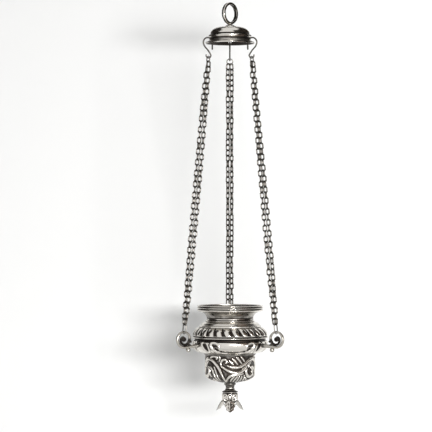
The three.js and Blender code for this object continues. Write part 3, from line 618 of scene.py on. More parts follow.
def chain_tree():
    """Sets a link on each edge of a strand's centre line, each a quarter turn on from the one before, with a
    small seeded turn of its own, because links never hang quite true."""
    tree = bpy.data.node_groups.new("strand_of_links", "GeometryNodeTree")
    tree.interface.new_socket("Geometry", in_out="INPUT", socket_type="NodeSocketGeometry")
    names = {}
    for name, kind, value in (
        ("Pitch", "NodeSocketFloat", LINK_PITCH * MM),
        ("Width", "NodeSocketFloat", LINK_WIDTH * MM),
        ("Wire", "NodeSocketFloat", LINK_WIRE * MM),
        ("First turn", "NodeSocketFloat", 45.0),
        ("Looseness", "NodeSocketFloat", LOOSENESS),
        ("Seed", "NodeSocketInt", 1),
        ("Material", "NodeSocketMaterial", None),
    ):
        names[name] = tree_input(tree, name, kind, value)
    tree.interface.new_socket("Geometry", in_out="OUTPUT", socket_type="NodeSocketGeometry")
    given = add_node(tree, "NodeGroupInput").outputs

    # One point on each edge of the centre line, facing along it and a quarter turn on from the last
    ends = add_node(tree, "GeometryNodeInputMeshEdgeVertices").outputs
    along = add_node(tree, "ShaderNodeVectorMath", {0: ends["Position 2"], 1: ends["Position 1"]},
                     operation="SUBTRACT")
    marked = add_node(tree, "GeometryNodeStoreNamedAttribute", {
        "Geometry": given["Geometry"], "Name": "along", "Value": along,
    }, data_type="FLOAT_VECTOR", domain="EDGE")
    points = add_node(tree, "GeometryNodeMeshToPoints", {"Mesh": marked}, mode="EDGES")
    run = add_node(tree, "GeometryNodeInputNamedAttribute", {"Name": "along"}, data_type="FLOAT_VECTOR")
    aligned = add_node(tree, "FunctionNodeAlignRotationToVector", {"Vector": run}, axis="Z")
    index = add_node(tree, "GeometryNodeInputIndex")
    quarter = add_node(tree, "ShaderNodeMath", {0: index, 1: 90.0, 2: given["First turn"]},
                       operation="MULTIPLY_ADD")
    own = add_node(tree, "FunctionNodeRandomValue", {2: -1.0, 3: 1.0, "Seed": given["Seed"]},
                   data_type="FLOAT")
    degrees = add_node(tree, "ShaderNodeMath", {0: own.outputs[1], 1: given["Looseness"], 2: quarter},
                       operation="MULTIPLY_ADD")
    turn = add_node(tree, "ShaderNodeMath", {0: degrees}, operation="RADIANS")
    spin = add_node(tree, "FunctionNodeAxisAngleToRotation", {"Axis": (0, 0, 1), "Angle": turn})
    facing = add_node(tree, "FunctionNodeRotateRotation", {"Rotation": aligned, "Rotate By": spin},
                      rotation_space="LOCAL")

    # One oval link of round wire, stood upright
    across = add_node(tree, "ShaderNodeMath", {0: given["Width"], 1: given["Wire"]}, operation="SUBTRACT")
    down = add_node(tree, "ShaderNodeMath", {0: given["Pitch"], 1: given["Wire"]}, operation="ADD")
    bend = add_node(tree, "ShaderNodeMath", {0: across, 1: LINK_ROUNDING}, operation="MULTIPLY")
    half_wire = add_node(tree, "ShaderNodeMath", {0: given["Wire"], 1: 0.5}, operation="MULTIPLY")
    oblong = add_node(tree, "GeometryNodeCurvePrimitiveQuadrilateral", {"Width": across, "Height": down})
    oval = add_node(tree, "GeometryNodeFilletCurve", {"Curve": oblong, "Radius": bend, "Limit Radius": True})
    even = add_node(tree, "GeometryNodeResampleCurve", {"Curve": oval, "Count": LINK_SECTIONS})
    section = add_node(tree, "GeometryNodeCurvePrimitiveCircle",
                       {"Resolution": LINK_SIDES, "Radius": half_wire})
    bent = add_node(tree, "GeometryNodeCurveToMesh", {"Curve": even, "Profile Curve": section})
    stood = add_node(tree, "GeometryNodeTransform", {"Geometry": bent, "Rotation": (math.pi / 2, 0, 0)})

    # The sides of a link are lighter, rubbed bright, and its ends, where the next links sit, are painted dark
    # as shade
    place = add_node(tree, "GeometryNodeInputPosition")
    split = add_node(tree, "ShaderNodeSeparateXYZ", {0: place})
    height = add_node(tree, "ShaderNodeMath", {0: split.outputs["Z"]}, operation="ABSOLUTE")
    share = add_node(tree, "ShaderNodeMath", {0: height, 1: given["Pitch"]}, operation="DIVIDE")
    rubbed_sides_shaded_ends = add_node(tree, "ShaderNodeMapRange", {0: share, 1: 0.2, 2: 0.55, 3: 0.28, 4: 0.85})
    tarnish_and_shade = add_node(tree, "GeometryNodeStoreNamedAttribute", {
        "Geometry": stood, "Name": "tarnish_and_shade", "Value": rubbed_sides_shaded_ends,
    }, data_type="FLOAT", domain="POINT")
    links = add_node(tree, "GeometryNodeInstanceOnPoints",
                     {"Points": points, "Instance": tarnish_and_shade, "Rotation": facing})
    real = add_node(tree, "GeometryNodeRealizeInstances", {"Geometry": links})
    smooth = add_node(tree, "GeometryNodeSetShadeSmooth", {"Geometry": real})
    coated = add_node(tree, "GeometryNodeSetMaterial", {"Geometry": smooth, "Material": given["Material"]})
    add_node(tree, "NodeGroupOutput", {"Geometry": coated})
    return tree, names


def from_nodes(name, line, tree, values, matrix):
    """A mesh made by the tree from a line of points in millimetres, and put in place."""
    base = bpy.data.meshes.new(name + "_line")
    points = [tuple((matrix @ Matrix.Translation(p)).translation * MM) for p in line]
    base.from_pydata(points, [(i, i + 1) for i in range(len(points) - 1)], [])
    piece = new_object(name, base)
    modifier = piece.modifiers.new("links", "NODES")
    modifier.node_group = tree
    for identifier, value in values.items():
        modifier[identifier] = value
    piece.update_tag()
    bpy.context.view_layer.update()
    evaluated = piece.evaluated_get(bpy.context.evaluated_depsgraph_get())
    mesh = bpy.data.meshes.new_from_object(evaluated)
    piece.modifiers.clear()
    piece.data = mesh
    bpy.data.meshes.remove(base)
    return piece


# How many degrees the pair of strands has twisted at five places from the top of each chain to its foot
TWISTS = {"back": (0, 20, -10, 25, 0), "left": (0, 50, 62, 55, 0), "right": (0, -20, -45, -62, 0)}
# The turn of the first link of strand a, in degrees. Strand b starts a quarter turn on.
FIRST_TURNS = {"back": 45, "left": 60, "right": 120}
top_link = long_link(0, TOP_LINK_LENGTH, JOINING_WIDTH, JOINING_WIRE)
end_link = long_link(end_link_top, END_LINK_LENGTH, JOINING_WIDTH, JOINING_WIRE)
links_tree, link_inputs = chain_tree()
for number, side in enumerate(ARMS):
    steps = np.arange(LINKS + 1)
    twist = np.radians(np.interp(steps / LINKS, np.linspace(0, 1, 5), TWISTS[side]))
    spread = STRAND_SPACING / 2 * np.interp(np.minimum(steps, LINKS - steps), [0, 1], [0.6, 1])
    for letter, sign in (("a", -1), ("b", 1)):
        line = np.stack([
            sign * spread * np.cos(twist), sign * spread * np.sin(twist), strand_top - steps * LINK_PITCH,
        ], 1)
        values = {
            link_inputs["First turn"]: float(FIRST_TURNS[side] + (90 if letter == "b" else 0)),
            link_inputs["Seed"]: 2 * number + sign + 7,
            link_inputs["Material"]: OXIDISED,
        }
        strand = from_nodes(f"chain_strand_{letter}_{side}", line, links_tree, values, hang(side))
        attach(strand, f"chain_{side}")
        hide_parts(f"strand_{letter}_{side}")
    add_piece(f"chain_top_link_{side}", [moved(top_link, hang(side))], OXIDISED, f"chain_{side}",
              "chain_silver", f"top_link_{side}", rounds=6, depth=0.1)
    add_piece(f"chain_end_link_{side}", [moved(end_link, hang(side))], OXIDISED, f"end_link_{side}",
              "chain_silver", f"end_link_{side}", rounds=6, depth=0.1)


# Bowl rim: a heavy cast moulding with two grooves, soldered round the top of the neck. The floors of the
# grooves are painted dark, as shade.
rim_top = heights("bowl_rim")[0]
rim_face = outline(
    rim_top, 0.2,
    [(30.35, -0.3), (31.0, 0), (32.0, 0), (32.5, -0.25), (32.5, -0.6), (32.2, -0.9)],
    [(32.2, -0.9), (31.0, -0.95), (31.0, -1.75), (32.1, -1.8)],
    [(32.1, -1.8), (32.6, -2.0), (32.8, -2.4), (32.6, -2.8), (32.2, -3.0)],
    [(32.2, -3.0), (31.0, -3.05), (31.0, -3.85), (32.1, -3.9)],
    [(32.1, -3.9), (32.5, -4.3), (32.3, -5.0), (31.5, -5.6), (30.6, -6.0)],
)
GROOVE_EDGE_RADIUS = 31.9
GROOVES_FROM = 0.85
GROOVES_TO = 4.0


def rim_groove_shade(azimuth, radius, height):
    """No relief, but the floors of the two grooves are painted dark, as shade."""
    sunk = radius < GROOVE_EDGE_RADIUS
    return 0 * radius, 1.0 * sunk * (height < rim_top - GROOVES_FROM) * (height > rim_top - GROOVES_TO)


rim_back = outline(rim_top, 1.0, [(30.35, -6.0), (30.35, -3.0), (30.35, -0.3)])
add_piece("rim_moulding", [turned(rim_face, rim_back, 300, rim_groove_shade)], SILVER, "bowl",
          "bright_silver", "bowl_rim")


# Neck and shoulder: one raised shell. A polished hollow neck runs into a fine ring and a ledge, and the
# shoulder below is chased with twenty-six slanting gadroons, parted by wedges of dark ground.
def ease(value, low, high):
    """Runs smoothly from 0 at low to 1 at high."""
    share = np.clip((value - low) / (high - low), 0, 1)
    return share * share * (3 - 2 * share)


neck_face = outline(
    rim_top, 0.38,
    [(29.9, -0.8), (29.9, -6.0)],
    [(29.9, -6.0), (27.8, -6.4), (25.4, -7.9), (23.6, -10.0), (22.75, -12.2), (22.9, -13.8)],
    [(22.9, -13.8), (22.6, -14.1), (22.9, -14.4)],
    [(22.9, -14.4), (23.9, -14.7), (24.2, -15.2), (23.7, -15.8)],
    [(23.7, -15.8), (25.4, -16.3), (27.4, -17.1), (28.3, -18.3), (28.5, -19.0)],
    [(28.5, -19.0), (29.9, -19.3), (30.5, -20.2), (30.2, -21.3)],
    [(30.2, -21.3), (31.8, -22.2), (34.2, -24.3), (35.9, -26.8), (36.6, -28.9)],
    [(36.6, -28.9), (36.5, -29.6), (36.3, -30.4)],
)
neck_back = outline(rim_top, 2.0, [
    (36.0, -30.4), (35.2, -28.2), (33.0, -24.8), (29.5, -21.8), (26.8, -18.6), (22.2, -16.6), (21.7, -13.6),
    (22.6, -9.8), (25.2, -7.2), (28.7, -5.6), (28.9, -0.8),
])
GADROONS = 26
GADROONS_FROM = 21.6
GADROON_LENGTH = 7.2
GADROON_HEIGHT = 1.2
GADROON_SINK = 0.8


def gadroons(azimuth, radius, height):
    """Slanting lobes that narrow downwards, painted dark between them, and painted dark as shade along the
    girdle.
    """
    depth = rim_top - height
    down = np.clip((depth - GADROONS_FROM) / GADROON_LENGTH, 0, 1)
    place = GADROONS * azimuth / (2 * math.pi) - 0.42 * down
    off = place - np.round(place)
    half = 0.46 - 0.15 * down
    lobe = np.sqrt(np.clip(1 - (np.abs(off + 0.12 * down) / half) ** 2, 0, 1))
    fade = ease(depth, 21.3, 22.3) * (1 - ease(depth, 28.3, 29.0))
    dark = np.maximum(fade * (1 - lobe) * 1.1, 0.8 * ease(depth, 28.8, 29.6))
    return fade * (GADROON_HEIGHT * lobe - GADROON_SINK), dark


add_piece("neck_and_chased_shoulder", [turned(neck_face, neck_back, 572, gadroons)], SILVER, "bowl",
          "bright_silver", "neck_and_shoulder")


# Girdle: a half-round wire moulding that covers the seam between the shoulder and the lobed shell.
girdle_top = heights("girdle_moulding")[0]
girdle_face = outline(girdle_top, 0.12, [(36.2, 0), (37.6, -0.05), (38.0, -0.5), (37.6, -0.95), (36.2, -1.4)])
girdle_back = outline(girdle_top, 0.7, [(34.8, -1.4), (34.8, 0)])


def girdle_underside_shade(azimuth, radius, height):
    """No relief, but the lower half is painted dark, as shade."""
    return 0 * radius, 0.9 * ease(girdle_top - height, 0.75, 1.0)


add_piece("girdle_wire", [turned(girdle_face, girdle_back, 240, girdle_underside_shade)], SILVER, "bowl",
          "bright_silver", "girdle_moulding")


# Middle shell: raised to a full round and chased with three broad smooth panels. Each panel is held by
# drop-shaped dents with a rib between them, and a groove runs in a crescent along its lower edge.
SECTOR = 120
PATTERN_FRONT = 274.5


def sector_angle(azimuth):
    """Degrees from the middle of the nearest panel."""
    return (np.degrees(azimuth) - PATTERN_FRONT + 0.5 * SECTOR) % SECTOR - 0.5 * SECTOR


body_top = heights("bowl_body")[0]
body_face = outline(
    body_top, 0.3,
    [(35.2, 0), (34.5, -0.7), (34.6, -1.7)],
    [(34.6, -1.7), (35.7, -2.3), (36.5, -3.7), (36.6, -6.0), (36.0, -8.4), (34.2, -10.9), (31.6, -12.7),
     (28.8, -13.9), (26.2, -14.5)],
)
body_back = outline(body_top, 1.5, [
    (26.2, -13.4), (29.4, -12.6), (32.6, -10.9), (34.6, -8.4), (35.3, -5.0), (34.4, -1.2), (34.3, 0),
])
SHELL_RADIUS = 36.5
DENT_DOWN = 7.2
DENT_HALF_HEIGHT = 4.5
DENT_DEPTH = 1.15
DENT_EDGE_HEIGHT = 0.5
CRESCENT_DOWN = 13.0
CRESCENT_RISE = 4.0
CRESCENT_END = 31
GROOVE_DEPTH = 0.8
RIDGE_HEIGHT = 0.35


def panels(azimuth, radius, height):
    """Two dents with raised edges on each side of a panel, and a crescent groove with a ridge under it."""
    across = np.abs(sector_angle(azimuth))
    down = body_top - height
    lift = np.zeros_like(radius)
    # Painted shade: a dark band at the top under the girdle, and darkness in the dents and the crescent
    # groove
    dark = 0.95 * (1 - ease(down, 1.9, 2.9))
    for middle, lean, width in ((28.4, -0.5, 3.7), (46.6, -0.6, 3.3)):
        x = (across - middle - lean * (down - DENT_DOWN)) * math.pi / 180 * SHELL_RADIUS
        taper = 1 + 0.12 * (DENT_DOWN - down) / 4
        off = np.sqrt((x / (width * taper)) ** 2 + ((down - DENT_DOWN) / DENT_HALF_HEIGHT) ** 2)
        lift -= DENT_DEPTH * np.clip(1 - off ** 2, 0, 1)
        lift += DENT_EDGE_HEIGHT * np.exp(-((off - 1.2) / 0.2) ** 2)
        dark = dark * ease(off, 1.0, 1.5) + 0.7 * (1 - ease(off, 0.8, 1.1))
    crescent = CRESCENT_DOWN - CRESCENT_RISE * (np.minimum(across, CRESCENT_END) / CRESCENT_END) ** 2
    near = 1 - ease(across, CRESCENT_END - 4, CRESCENT_END)
    groove = near * np.exp(-((down - crescent) / 1.25) ** 2)
    ridge = near * np.exp(-((down - crescent - 1.6) / 0.55) ** 2)
    return lift - GROOVE_DEPTH * groove + RIDGE_HEIGHT * ridge, np.maximum(dark, 0.74 * groove)


add_piece("lobed_shell", [turned(body_face, body_back, 540, panels)], SILVER, "bowl", "bright_silver",
          "bowl_body")


# Lower cup: a deep round cup, chased all over with scrolls, fluted leaves and curls in three like fields.
# The forms were raised from inside and lined round from outside, so each crest has a dark line beside it.
CUP_RADIUS = 24.0
cup_top = heights("lower_cup")[0]
cup_face = outline(
    cup_top, 0.33,
    [(25.7, 0), (25.5, -0.6), (24.7, -1.1), (CUP_RADIUS, -1.6)],
    [(CUP_RADIUS, -1.6), (CUP_RADIUS, -8.0), (CUP_RADIUS, -15.0), (CUP_RADIUS, -20.4), (23.0, -22.6),
     (20.4, -24.6), (16.0, -26.4), (10.6, -27.8), (6.2, -28.5)],
    [(6.2, -28.5), (4.6, -28.7), (2.0, -28.7)],
)
cup_back = outline(cup_top, 2.0, [
    (2.0, -27.6), (8.0, -27.2), (15.0, -25.4), (20.4, -22.4), (22.4, -19.6), (22.6, -10.0), (22.6, 0),
])
# Each stroke: its points as degrees across and millimetres down, its half width and its height
STROKES = [
    ([(-80, 8.0), (-67, 5.4), (-55, 4.9), (-45, 6.4), (-37, 9.0), (-29, 12.6), (-23, 16.9), (-18, 21.0),
      (-14, 26.6)], 1.15, 1.0),
    ([(-41, 12.0), (-38, 14.5), (-33, 19.3), (-29, 25.2)], 0.75, 0.65),
    ([(-64, 12.5), (-54, 12.6), (-47, 15.0), (-41, 19.5), (-36, 25.6)], 0.85, 0.7),
    ([(-62, 16.5), (-56, 18.5), (-51, 21.6)], 0.75, 0.6),
    ([(-53, 25.4), (-49, 23.8), (-45, 25.4), (-49, 26.6), (-53, 25.4)], 0.6, 0.6),
    ([(-52, 3.4), (-47, 1.8), (-39, 1.4), (-32, 2.6), (-34, 4.2)], 1.3, 0.75),
    ([(-26, 0.8), (-25, 3.6), (-27, 6.8)], 0.7, 0.6),
    ([(-7, 7.3), (-11, 4.9), (-18, 5.0), (-23, 8.2), (-21, 11.2)], 0.95, 0.8),
    ([(-10, 8.0), (-8, 7.0)], 1.0, 0.8),
    ([(-21, 11.2), (-11, 14.1), (-2, 16.1), (7, 17.3), (17, 17.7), (27, 16.5), (35, 13.7), (43, 10.1),
      (54, 6.0)], 1.2, 1.0),
    ([(-7, 10.4), (0, 11.7), (9, 12.3), (19, 12.1), (27, 11.1), (37, 8.9), (48, 5.6), (56, 3.4)], 1.1, 0.9),
    ([(-2, 5.6), (2, 7.6), (7, 9.4)], 0.85, 0.6),
    ([(5, 3.6), (12, 6.4), (17, 9.2)], 0.9, 0.65),
    ([(14, 2.2), (22, 5.4), (27, 8.4)], 0.95, 0.7),
    ([(25, 1.6), (31, 4.2), (35, 6.6)], 0.85, 0.6),
    ([(42, 14.0), (40, 17.0), (44, 20.6), (53, 21.4), (61, 18.8), (62, 15.0), (56, 12.8)], 1.35, 0.95),
    ([(48, 12.4), (51, 9.6), (58, 7.0)], 0.85, 0.65),
    ([(-11, 26.5), (-7, 23.6), (0, 20.9), (9, 19.7), (21, 19.2), (31, 18.2)], 1.1, 0.7),
    ([(9, 21.4), (4, 23.6), (1, 26.6)], 0.8, 0.6),
    ([(16, 21.4), (12, 23.8), (10, 26.8)], 0.8, 0.6),
    ([(22, 20.9), (20, 23.6), (20, 26.8)], 0.8, 0.6),
    ([(28, 20.6), (28, 23.4), (30, 26.4)], 0.8, 0.6),
    ([(34, 20.0), (36, 22.8), (39, 25.4)], 0.8, 0.6),
    ([(40, 22.6), (44, 23.8), (48, 24.8)], 0.75, 0.55),
]
CUP_PATTERN_TURN = 4
along_cup = np.concatenate([[0], np.cumsum(np.linalg.norm(np.diff(cup_face, axis=0), axis=1))])
below_lip = cup_top - cup_face[:, 1]


def chasing(azimuth, radius, height):
    """Rounded strokes that taper at their ends, each in a trench of its own on dark ground."""
    across = np.degrees(azimuth) - PATTERN_FRONT + CUP_PATTERN_TURN
    across = (across + 0.5 * SECTOR) % SECTOR - 0.5 * SECTOR
    travel = np.broadcast_to(along_cup[:, None], radius.shape)
    crest = np.zeros_like(radius)
    trench = np.zeros_like(radius)
    for points, half, rise in STROKES:
        line = smooth_line(points, 0.8)
        line_travel = np.interp(line[:, 1], below_lip, along_cup)
        for shift in (-SECTOR, 0, SECTOR):
            middle, spread = line[:, 0].mean() + shift, np.ptp(line[:, 0]) / 2 + 6
            if middle + spread < -0.5 * SECTOR or middle - spread > 0.5 * SECTOR:
                continue
            near = np.abs(across - middle) < spread
            near &= (travel > line_travel.min() - 3) & (travel < line_travel.max() + 3)
            x = np.radians(across[near])[:, None] - np.radians(line[:, 0] + shift)[None]
            x = x * radius[near][:, None]
            y = travel[near][:, None] - line_travel[None]
            from_ends = np.minimum(np.arange(len(line)), np.arange(len(line))[::-1]) / len(line)
            taper = 0.62 + 0.38 * np.minimum(from_ends / 0.25, 1)
            off = np.sqrt(x * x + y * y) / (1.15 * half * taper[None])
            nearest = off.min(1)
            crest[near] = np.maximum(crest[near], rise * np.sqrt(np.clip(1 - nearest ** 2, 0, 1)))
            trench[near] = np.maximum(trench[near], 1 - ease(np.abs(nearest - 1.35), 0.2, 0.95))
    fade = ease(travel, 1.6, 2.6) * ease(radius, 6.5, 9.0)
    ground = 0.76 + 0.24 * trench
    lift = fade * np.where(crest > 0.02, crest - 0.1, -0.35 * trench)
    dark = np.maximum(fade * ground * (1 - ease(crest, 0.15, 0.45)), 0.7 * (1 - fade))
    return lift, dark


add_piece("chased_cup", [turned(cup_face, cup_back, 560, chasing)], SILVER, "bowl", "bright_silver",
          "lower_cup")


# Spool and finial: a turned silver spool, and below it a casting of scrolls, from whose sides three leaves
# bend down and outwards. A stud hidden in them goes up into the cup, where a nut holds it.
spool_top = heights("spool")[0]
spool_face = outline(
    spool_top, 0.25,
    [(3.0, 0), (5.2, -0.1), (5.8, -0.7), (5.5, -1.5), (4.9, -1.8)],
    [(4.9, -1.8), (4.4, -3.0), (4.3, -4.8), (4.8, -6.4), (5.9, -7.5), (6.9, -8.0)],
    [(6.9, -8.0), (7.7, -8.2), (7.8, -8.8), (7.3, -9.3), (3.0, -9.3)],
)
spool_back = outline(spool_top, 3.0, [(2.0, -9.3), (2.0, 0)])


def dark_in_faint_rings(azimuth, radius, height):
    """No relief, but painted dark all over, in faint rings."""
    return 0 * radius, 0.76 + 0.1 * np.sin(3 * height)


add_piece("spool_turned", [turned(spool_face, spool_back, 96, dark_in_faint_rings)], SILVER, "bowl", "bright_silver",
          "spool")

finial_top = heights("finial")[0]
finial_face = outline(
    finial_top, 0.25,
    [(4.0, 0), (6.8, -0.1), (7.2, -0.9), (7.3, -3.6), (7.1, -6.6), (6.6, -8.2), (5.6, -9.2)],
    [(5.6, -9.2), (5.0, -10.0), (5.1, -10.9)],
    [(5.1, -10.9), (5.7, -11.2), (5.7, -12.2), (5.0, -12.8)],
    [(5.0, -12.8), (3.4, -13.3), (0.05, -13.5)],
)
finial_back = outline(finial_top, 1.2, [(0.05, -4.4), (1.9, -4.4), (1.9, 0)])
# As on the cup, each stroke: degrees across and millimetres down, half width and height
SIDE_SCROLLS = [
    ([(50, 6.6), (56, 4.2), (52, 1.6), (38, 0.9), (26, 2.2), (25, 4.4), (34, 5.4), (41, 4.2), (38, 3.0)],
     0.75, 0.75),
    ([(44, 7.4), (34, 7.0), (25, 7.6)], 0.6, 0.5),
]
MIDDLE_SCROLLS = [
    ([(-17, 7.6), (-19, 4.6), (-12, 1.9), (0, 1.0), (12, 1.9), (19, 4.6), (17, 7.6)], 0.75, 0.8),
    ([(-7, 4.2), (0, 3.2), (7, 4.2)], 0.6, 0.6),
    ([(0, 5.0), (0, 7.4)], 1.0, 0.75),
]
mirrored = [([(-x, y) for x, y in points], half, rise) for points, half, rise in SIDE_SCROLLS]
BLOCK_RADIUS = 7.0
BLOCK_HEIGHT = 8.4
NECK_FOOT = 11.0
VEIN_HEIGHT = 0.16
MIDRIB_HEIGHT = 0.5


def casting(azimuth, radius, height):
    """Rounded scrolls on the block, three like fields of them, on dark ground."""
    across = (np.degrees(azimuth) - 270 + 0.5 * SECTOR) % SECTOR - 0.5 * SECTOR
    down = finial_top - height
    lift = np.zeros_like(radius)
    for points, half, rise in SIDE_SCROLLS + MIDDLE_SCROLLS + mirrored:
        line = smooth_line(points, 0.8)
        x = (across[..., None] - line[:, 0]) * math.pi / 180 * BLOCK_RADIUS
        off = np.sqrt(x * x + (down[..., None] - line[:, 1]) ** 2).min(-1) / half
        lift = np.maximum(lift, rise * np.sqrt(np.clip(1 - off ** 2, 0, 1)))
    dark = np.where(down < NECK_FOOT, 0.85 - 1.3 * lift, 0.45)
    return np.where(down < BLOCK_HEIGHT, lift - 0.15, 0), dark


def leaf(line, half_widths, half_depths, sections=40):
    """A leaf along a flat line, with scalloped edges, a midrib and slanting veins."""
    path = smooth_line(line, 0.3)
    share = np.linspace(0, 1, len(path))
    stations = np.linspace(0, 1, len(half_widths))
    wide = np.interp(share, stations, half_widths)
    deep = np.interp(share, stations, half_depths)
    along = np.gradient(path, axis=0)
    along /= np.linalg.norm(along, axis=1, keepdims=True)
    out = np.stack([-along[:, 1], along[:, 0]], 1)
    turn = np.linspace(0, 2 * math.pi, sections, endpoint=False)
    across, through = np.cos(turn)[None], np.sin(turn)[None]
    scallop = 1 + 0.1 * np.sin(share[:, None] * 26) * (np.abs(across) > 0.7)
    y = wide[:, None] * across * scallop
    rib = MIDRIB_HEIGHT * np.exp(-(across / 0.16) ** 2)
    rib = rib - 0.3 * np.exp(-((np.abs(across) - 0.3) / 0.12) ** 2)
    veins = VEIN_HEIGHT * np.sin(22 * share[:, None] + 7 * np.abs(across))
    veins = veins * np.clip(np.abs(across) * 2, 0, 1)
    curl_over = -0.5 * across ** 2
    fade = np.minimum(1, 4 * share * (1 - share))[:, None]
    section = through * np.sqrt(np.clip(1.05 - across ** 2, 0.02, 1)) + curl_over
    z = deep[:, None] * section + np.where(through > 0, rib + veins, 0) * fade
    x = path[:, :1] + z * out[:, :1]
    h = path[:, 1:] + z * out[:, 1:]
    vertices = np.stack([x, y, h], 2).reshape(-1, 3)
    faces = tube_faces(len(path), sections)
    faces.append(tuple(range(sections))[::-1])
    faces.append(tuple((len(path) - 1) * sections + side for side in range(sections)))
    # The back of the leaf and its rims are painted dark, as shade. Its face is darker in the grooves and
    # lighter on the midrib and veins
    dark = np.where(through > 0, 0.3 - 1.6 * (rib + veins), 0.62) + 0.2 * (np.abs(across) > 0.85)
    return vertices, faces, np.clip(dark, 0, 1).ravel()


finial_parts = [turned(finial_face, finial_back, 240, casting)]
petal_points = [(6.2, 5.4), (8.6, 9.0), (10.8, 12.6), (13.2, 16.0), (15.5, 17.9)]
petal = leaf([(x, finial_top - down) for x, down in petal_points],
             [2.0, 3.5, 4.6, 4.8, 4.2, 2.9, 0.6], [1.1, 1.05, 0.95, 0.85, 0.7, 0.5, 0.2])
for azimuth in ARMS.values():
    finial_parts.append(moved(petal, Matrix.Rotation(math.radians(azimuth + 180), 4, "Z")))
add_piece("finial_cast", finial_parts, SILVER, "bowl", "bright_silver", "finial")


# Scroll handles: cast silver volutes, fixed to the middle shell. From a stout root the band winds in to a
# small round eye, and it is thinnest where the chain hangs. A small curl rises from the root, and a bead
# sits under the scroll.
SCROLL_DEPTH = 32.4
SCROLL_RADIUS = 8.7
SCROLL_TIGHTENS = 5.2
scroll_height = rim_top - SCROLL_DEPTH
scroll_foot = scroll_height - SCROLL_RADIUS
ROOT_THICKNESS = 4.2
volute = [(36.9, body_top - 6.1)]
thickness = [ROOT_THICKNESS]
for angle in range(-90, 441, 15):
    wound = max(angle - 90, 0) / 360
    thick = np.interp(angle, [-90, -30, 30, 90, 180, 270, 440], [2.6, 2.8, 2.6, 1.9, 2.7, 2.4, 2.2])
    radius = SCROLL_RADIUS - 0.05 - thick / 2 - SCROLL_TIGHTENS * wound
    thickness.append(thick)
    volute.append((
        scroll_from_axis + radius * math.cos(math.radians(angle)),
        scroll_height + radius * math.sin(math.radians(angle)),
    ))
volute = smooth_line([(*place, thick) for place, thick in zip(volute, thickness)], 0.35)
share = np.linspace(0, 1, len(volute))
band_width = np.interp(share, [0, 0.12, 0.3, 0.6, 1], [3.0, 1.8, 1.35, 1.5, 1.3])
band_depth = volute[:, 2] / 2
# The band is painted darker as shade at its root and on its inner turns, and lighter on its outer turn
band_shade = np.interp(share, [0, 0.12, 0.3, 0.5, 0.64, 0.72, 1], [0.55, 0.3, 0.1, 0.2, 0.3, 0.75, 0.6])
eye_line = smooth_line(both_halves([(0.05, 1.5), (1.2, 1.4), (2.1, 0.9), (2.4, 0)]), 0.3)
eye = turned(eye_line, np.array([(0.04, -0.6), (0.04, 0.6)]), 28, dark_in_faint_rings)
bead_line = smooth_line(both_halves([(0.05, 2.3), (1.0, 2.07), (1.9, 1.3), (2.28, 0)]), 0.3)
bead = turned(bead_line, np.array([(0.04, -1), (0.04, 1)]), 32)
bead_neck_line = smooth_line([(0.9, 1.1), (1.3, 0.7), (0.95, 0.2), (1.5, -0.4), (1.2, -1.0)], 0.2)
bead_neck = turned(bead_neck_line, np.array([(0.1, -1), (0.1, 1)]), 24)
# Silver left as cast and only wiped: greyer than the polished pieces, with softer reflections
CAST = silver_finish("sterling_silver_cast", "#aeaaa2", "#2f2b28", 0.24, 0.5)
band = wire(upright(volute), (0, 1, 0), band_width, band_depth, sides=16, roundness=0.85, dark=band_shade)
# The curl is painted dark, as shade
curl_points = [(37.2, 5.2), (40.6, 6.6), (44.2, 6.2), (46.6, 4.2), (46.6, 2.0), (45.0, 1.4), (44.2, 2.6)]
curl_line = smooth_line([(x, body_top - down) for x, down in curl_points], 0.3)
parts = [
    band,
    wire(upright(curl_line), (0, 1, 0), 1.8, 1.15, dark=0.6),
    moved(eye, Matrix.Translation((scroll_from_axis + 0.2, 0, scroll_height + 0.3))
          @ Matrix.Rotation(math.radians(90), 4, "X")),
    moved(bead, Matrix.Translation((scroll_from_axis - 4.5, 0, scroll_foot - 1.38))),
    moved(bead_neck, Matrix.Translation((scroll_from_axis - 4.3, 0, scroll_foot + 1.2))),
]
for side in ARMS:
    add_piece(f"scroll_handle_{side}", [moved(part, arm_matrix(side)) for part in parts], CAST, "bowl",
              "bright_silver", f"handle_{side}", rounds=10)


# Oil glass, wick holder and wick: a blown glass cup with a flared lip, a silver strip that lies across it
# and holds a small tube, and a twisted cotton wick.
glass_top = heights("oil_glass")[0]
glass_face = outline(
    glass_top, 1.0,
    [(25.0, 0), (25.35, -0.7), (25.0, -1.5), (23.4, -3.6), (21.2, -6.4), (20.5, -8.6), (18.6, -20.0),
     (16.2, -33.0), (14.0, -40.6)],
    [(14.0, -40.6), (13.2, -41.8), (12.0, -42.0), (0.05, -42.0)],
)
glass_back = outline(glass_top, 1.2, [
    (0.05, -39.2), (11.0, -39.2), (12.8, -38.4), (15.0, -31.0), (17.3, -19.0), (19.1, -8.6), (19.8, -5.6),
    (21.8, -2.6), (24.2, 0),
])
# Blown glass, smooth from the fire: clear and glossy, with a faint green in it
glass_material, tree = new_material("blown_glass")
body_of_glass = add_node(tree, "ShaderNodeBsdfPrincipled", {
    "Base Color": linear("#f4faf7"), "Roughness": 0.03, "Transmission Weight": 1.0, "IOR": 1.5,
})
add_node(tree, "ShaderNodeOutputMaterial", {"Surface": body_of_glass})
add_piece("oil_glass_blown", [turned(glass_face, glass_back, 96)], glass_material, "oil_glass", "clear_glass",
          "oil_glass")

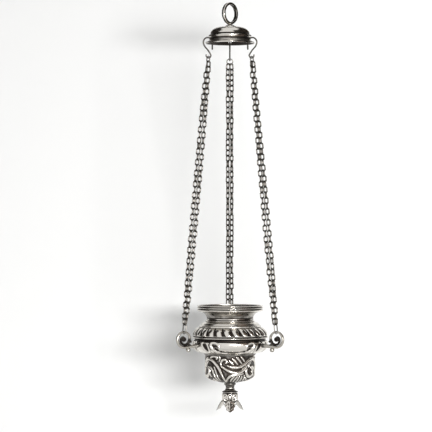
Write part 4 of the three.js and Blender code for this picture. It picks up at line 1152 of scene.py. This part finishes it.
bridge_top = heights("wick_bridge")[0]
tube_face = outline(bridge_top, 0.3, [
    (1.6, 0), (2.1, -0.1), (2.2, -0.5), (2.0, -0.9), (2.0, -5.0), (2.0, -9.0),
])
tube_back = outline(bridge_top, 3.0, [(1.6, -9.0), (1.6, 0)])
strip_points = [(-22.9, 1.75), (-20.0, 1.6), (-8.0, 1.5), (0, 1.5), (8.0, 1.5), (20.0, 1.6), (22.9, 1.75)]
strip_line = smooth_line([(x, bridge_top - down) for x, down in strip_points], 1.0)
strip_width = 1.3 + 0.5 * np.clip(1 - np.abs(strip_line[:, 0]) / 7, 0, 1)
strip = wire(upright(strip_line), (0, 1, 0), strip_width, 0.24, sides=16, roundness=0.4)
add_piece(
    "wick_bridge_cut",
    [turned(tube_face, tube_back, 48), moved(strip, Matrix.Rotation(math.radians(90), 4, "Z"))],
    SILVER, "wick_holder", "bright_silver", "wick_bridge",
)

# Cotton yarn, spun and twisted: matt, off-white and a little fluffy
FIBRE_CLUMP = 0.3
FLUFF = 0.1
COTTON, tree = new_material("cotton_wick")
place = add_node(tree, "ShaderNodeTexCoord").outputs["Object"]
fibre = add_node(tree, "ShaderNodeTexNoise",
                 {"Vector": place, "Scale": 1 / (FIBRE_CLUMP * MM), "Detail": 4.0})
shade = add_node(tree, "ShaderNodeMix", {0: fibre.outputs["Fac"], 6: linear("#efe6d2"), 7: linear("#c9b994")},
                 data_type="RGBA")
fluff = add_node(tree, "ShaderNodeBump",
                 {"Height": fibre.outputs["Fac"], "Strength": 0.6, "Distance": FLUFF * MM})
thread = add_node(tree, "ShaderNodeBsdfPrincipled", {
    "Base Color": shade.outputs[2], "Roughness": 0.95, "Sheen Weight": 0.3, "Normal": fluff,
})
add_node(tree, "ShaderNodeOutputMaterial", {"Surface": thread})
wick_top, wick_bottom = heights("wick")
wick_face = outline(wick_top, 0.25, [(0.05, 0), (0.6, -0.1), (1.0, -0.6)], [(1.0, -0.6), (1.0, -29.4)],
                    [(1.0, -29.4), (0.6, -29.9), (0.05, -30.0)])
wick_back = np.array([(0.04, wick_bottom + 1), (0.04, wick_top - 1)])
PLY_HEIGHT = 0.17


def plies(azimuth, radius, height):
    """Three rounded plies that wind round the wick."""
    lift = PLY_HEIGHT * np.abs(np.cos(1.5 * azimuth + 2.0 * height)) * ease(radius, 0.4, 0.9) - 0.02
    return lift, 0 * lift


add_piece("wick_twisted", [turned(wick_face, wick_back, 24, plies)], COTTON, "wick", "cotton", "wick")


# Hidden nuts and the finial's stud: plain silver, screwed together out of sight, so they are kept as they
# were drawn.
for name in ("ring_nut", "finial_stud", "finial_nut"):
    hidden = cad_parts[name]
    hidden.data.materials.clear()
    hidden.data.materials.append(SILVER)
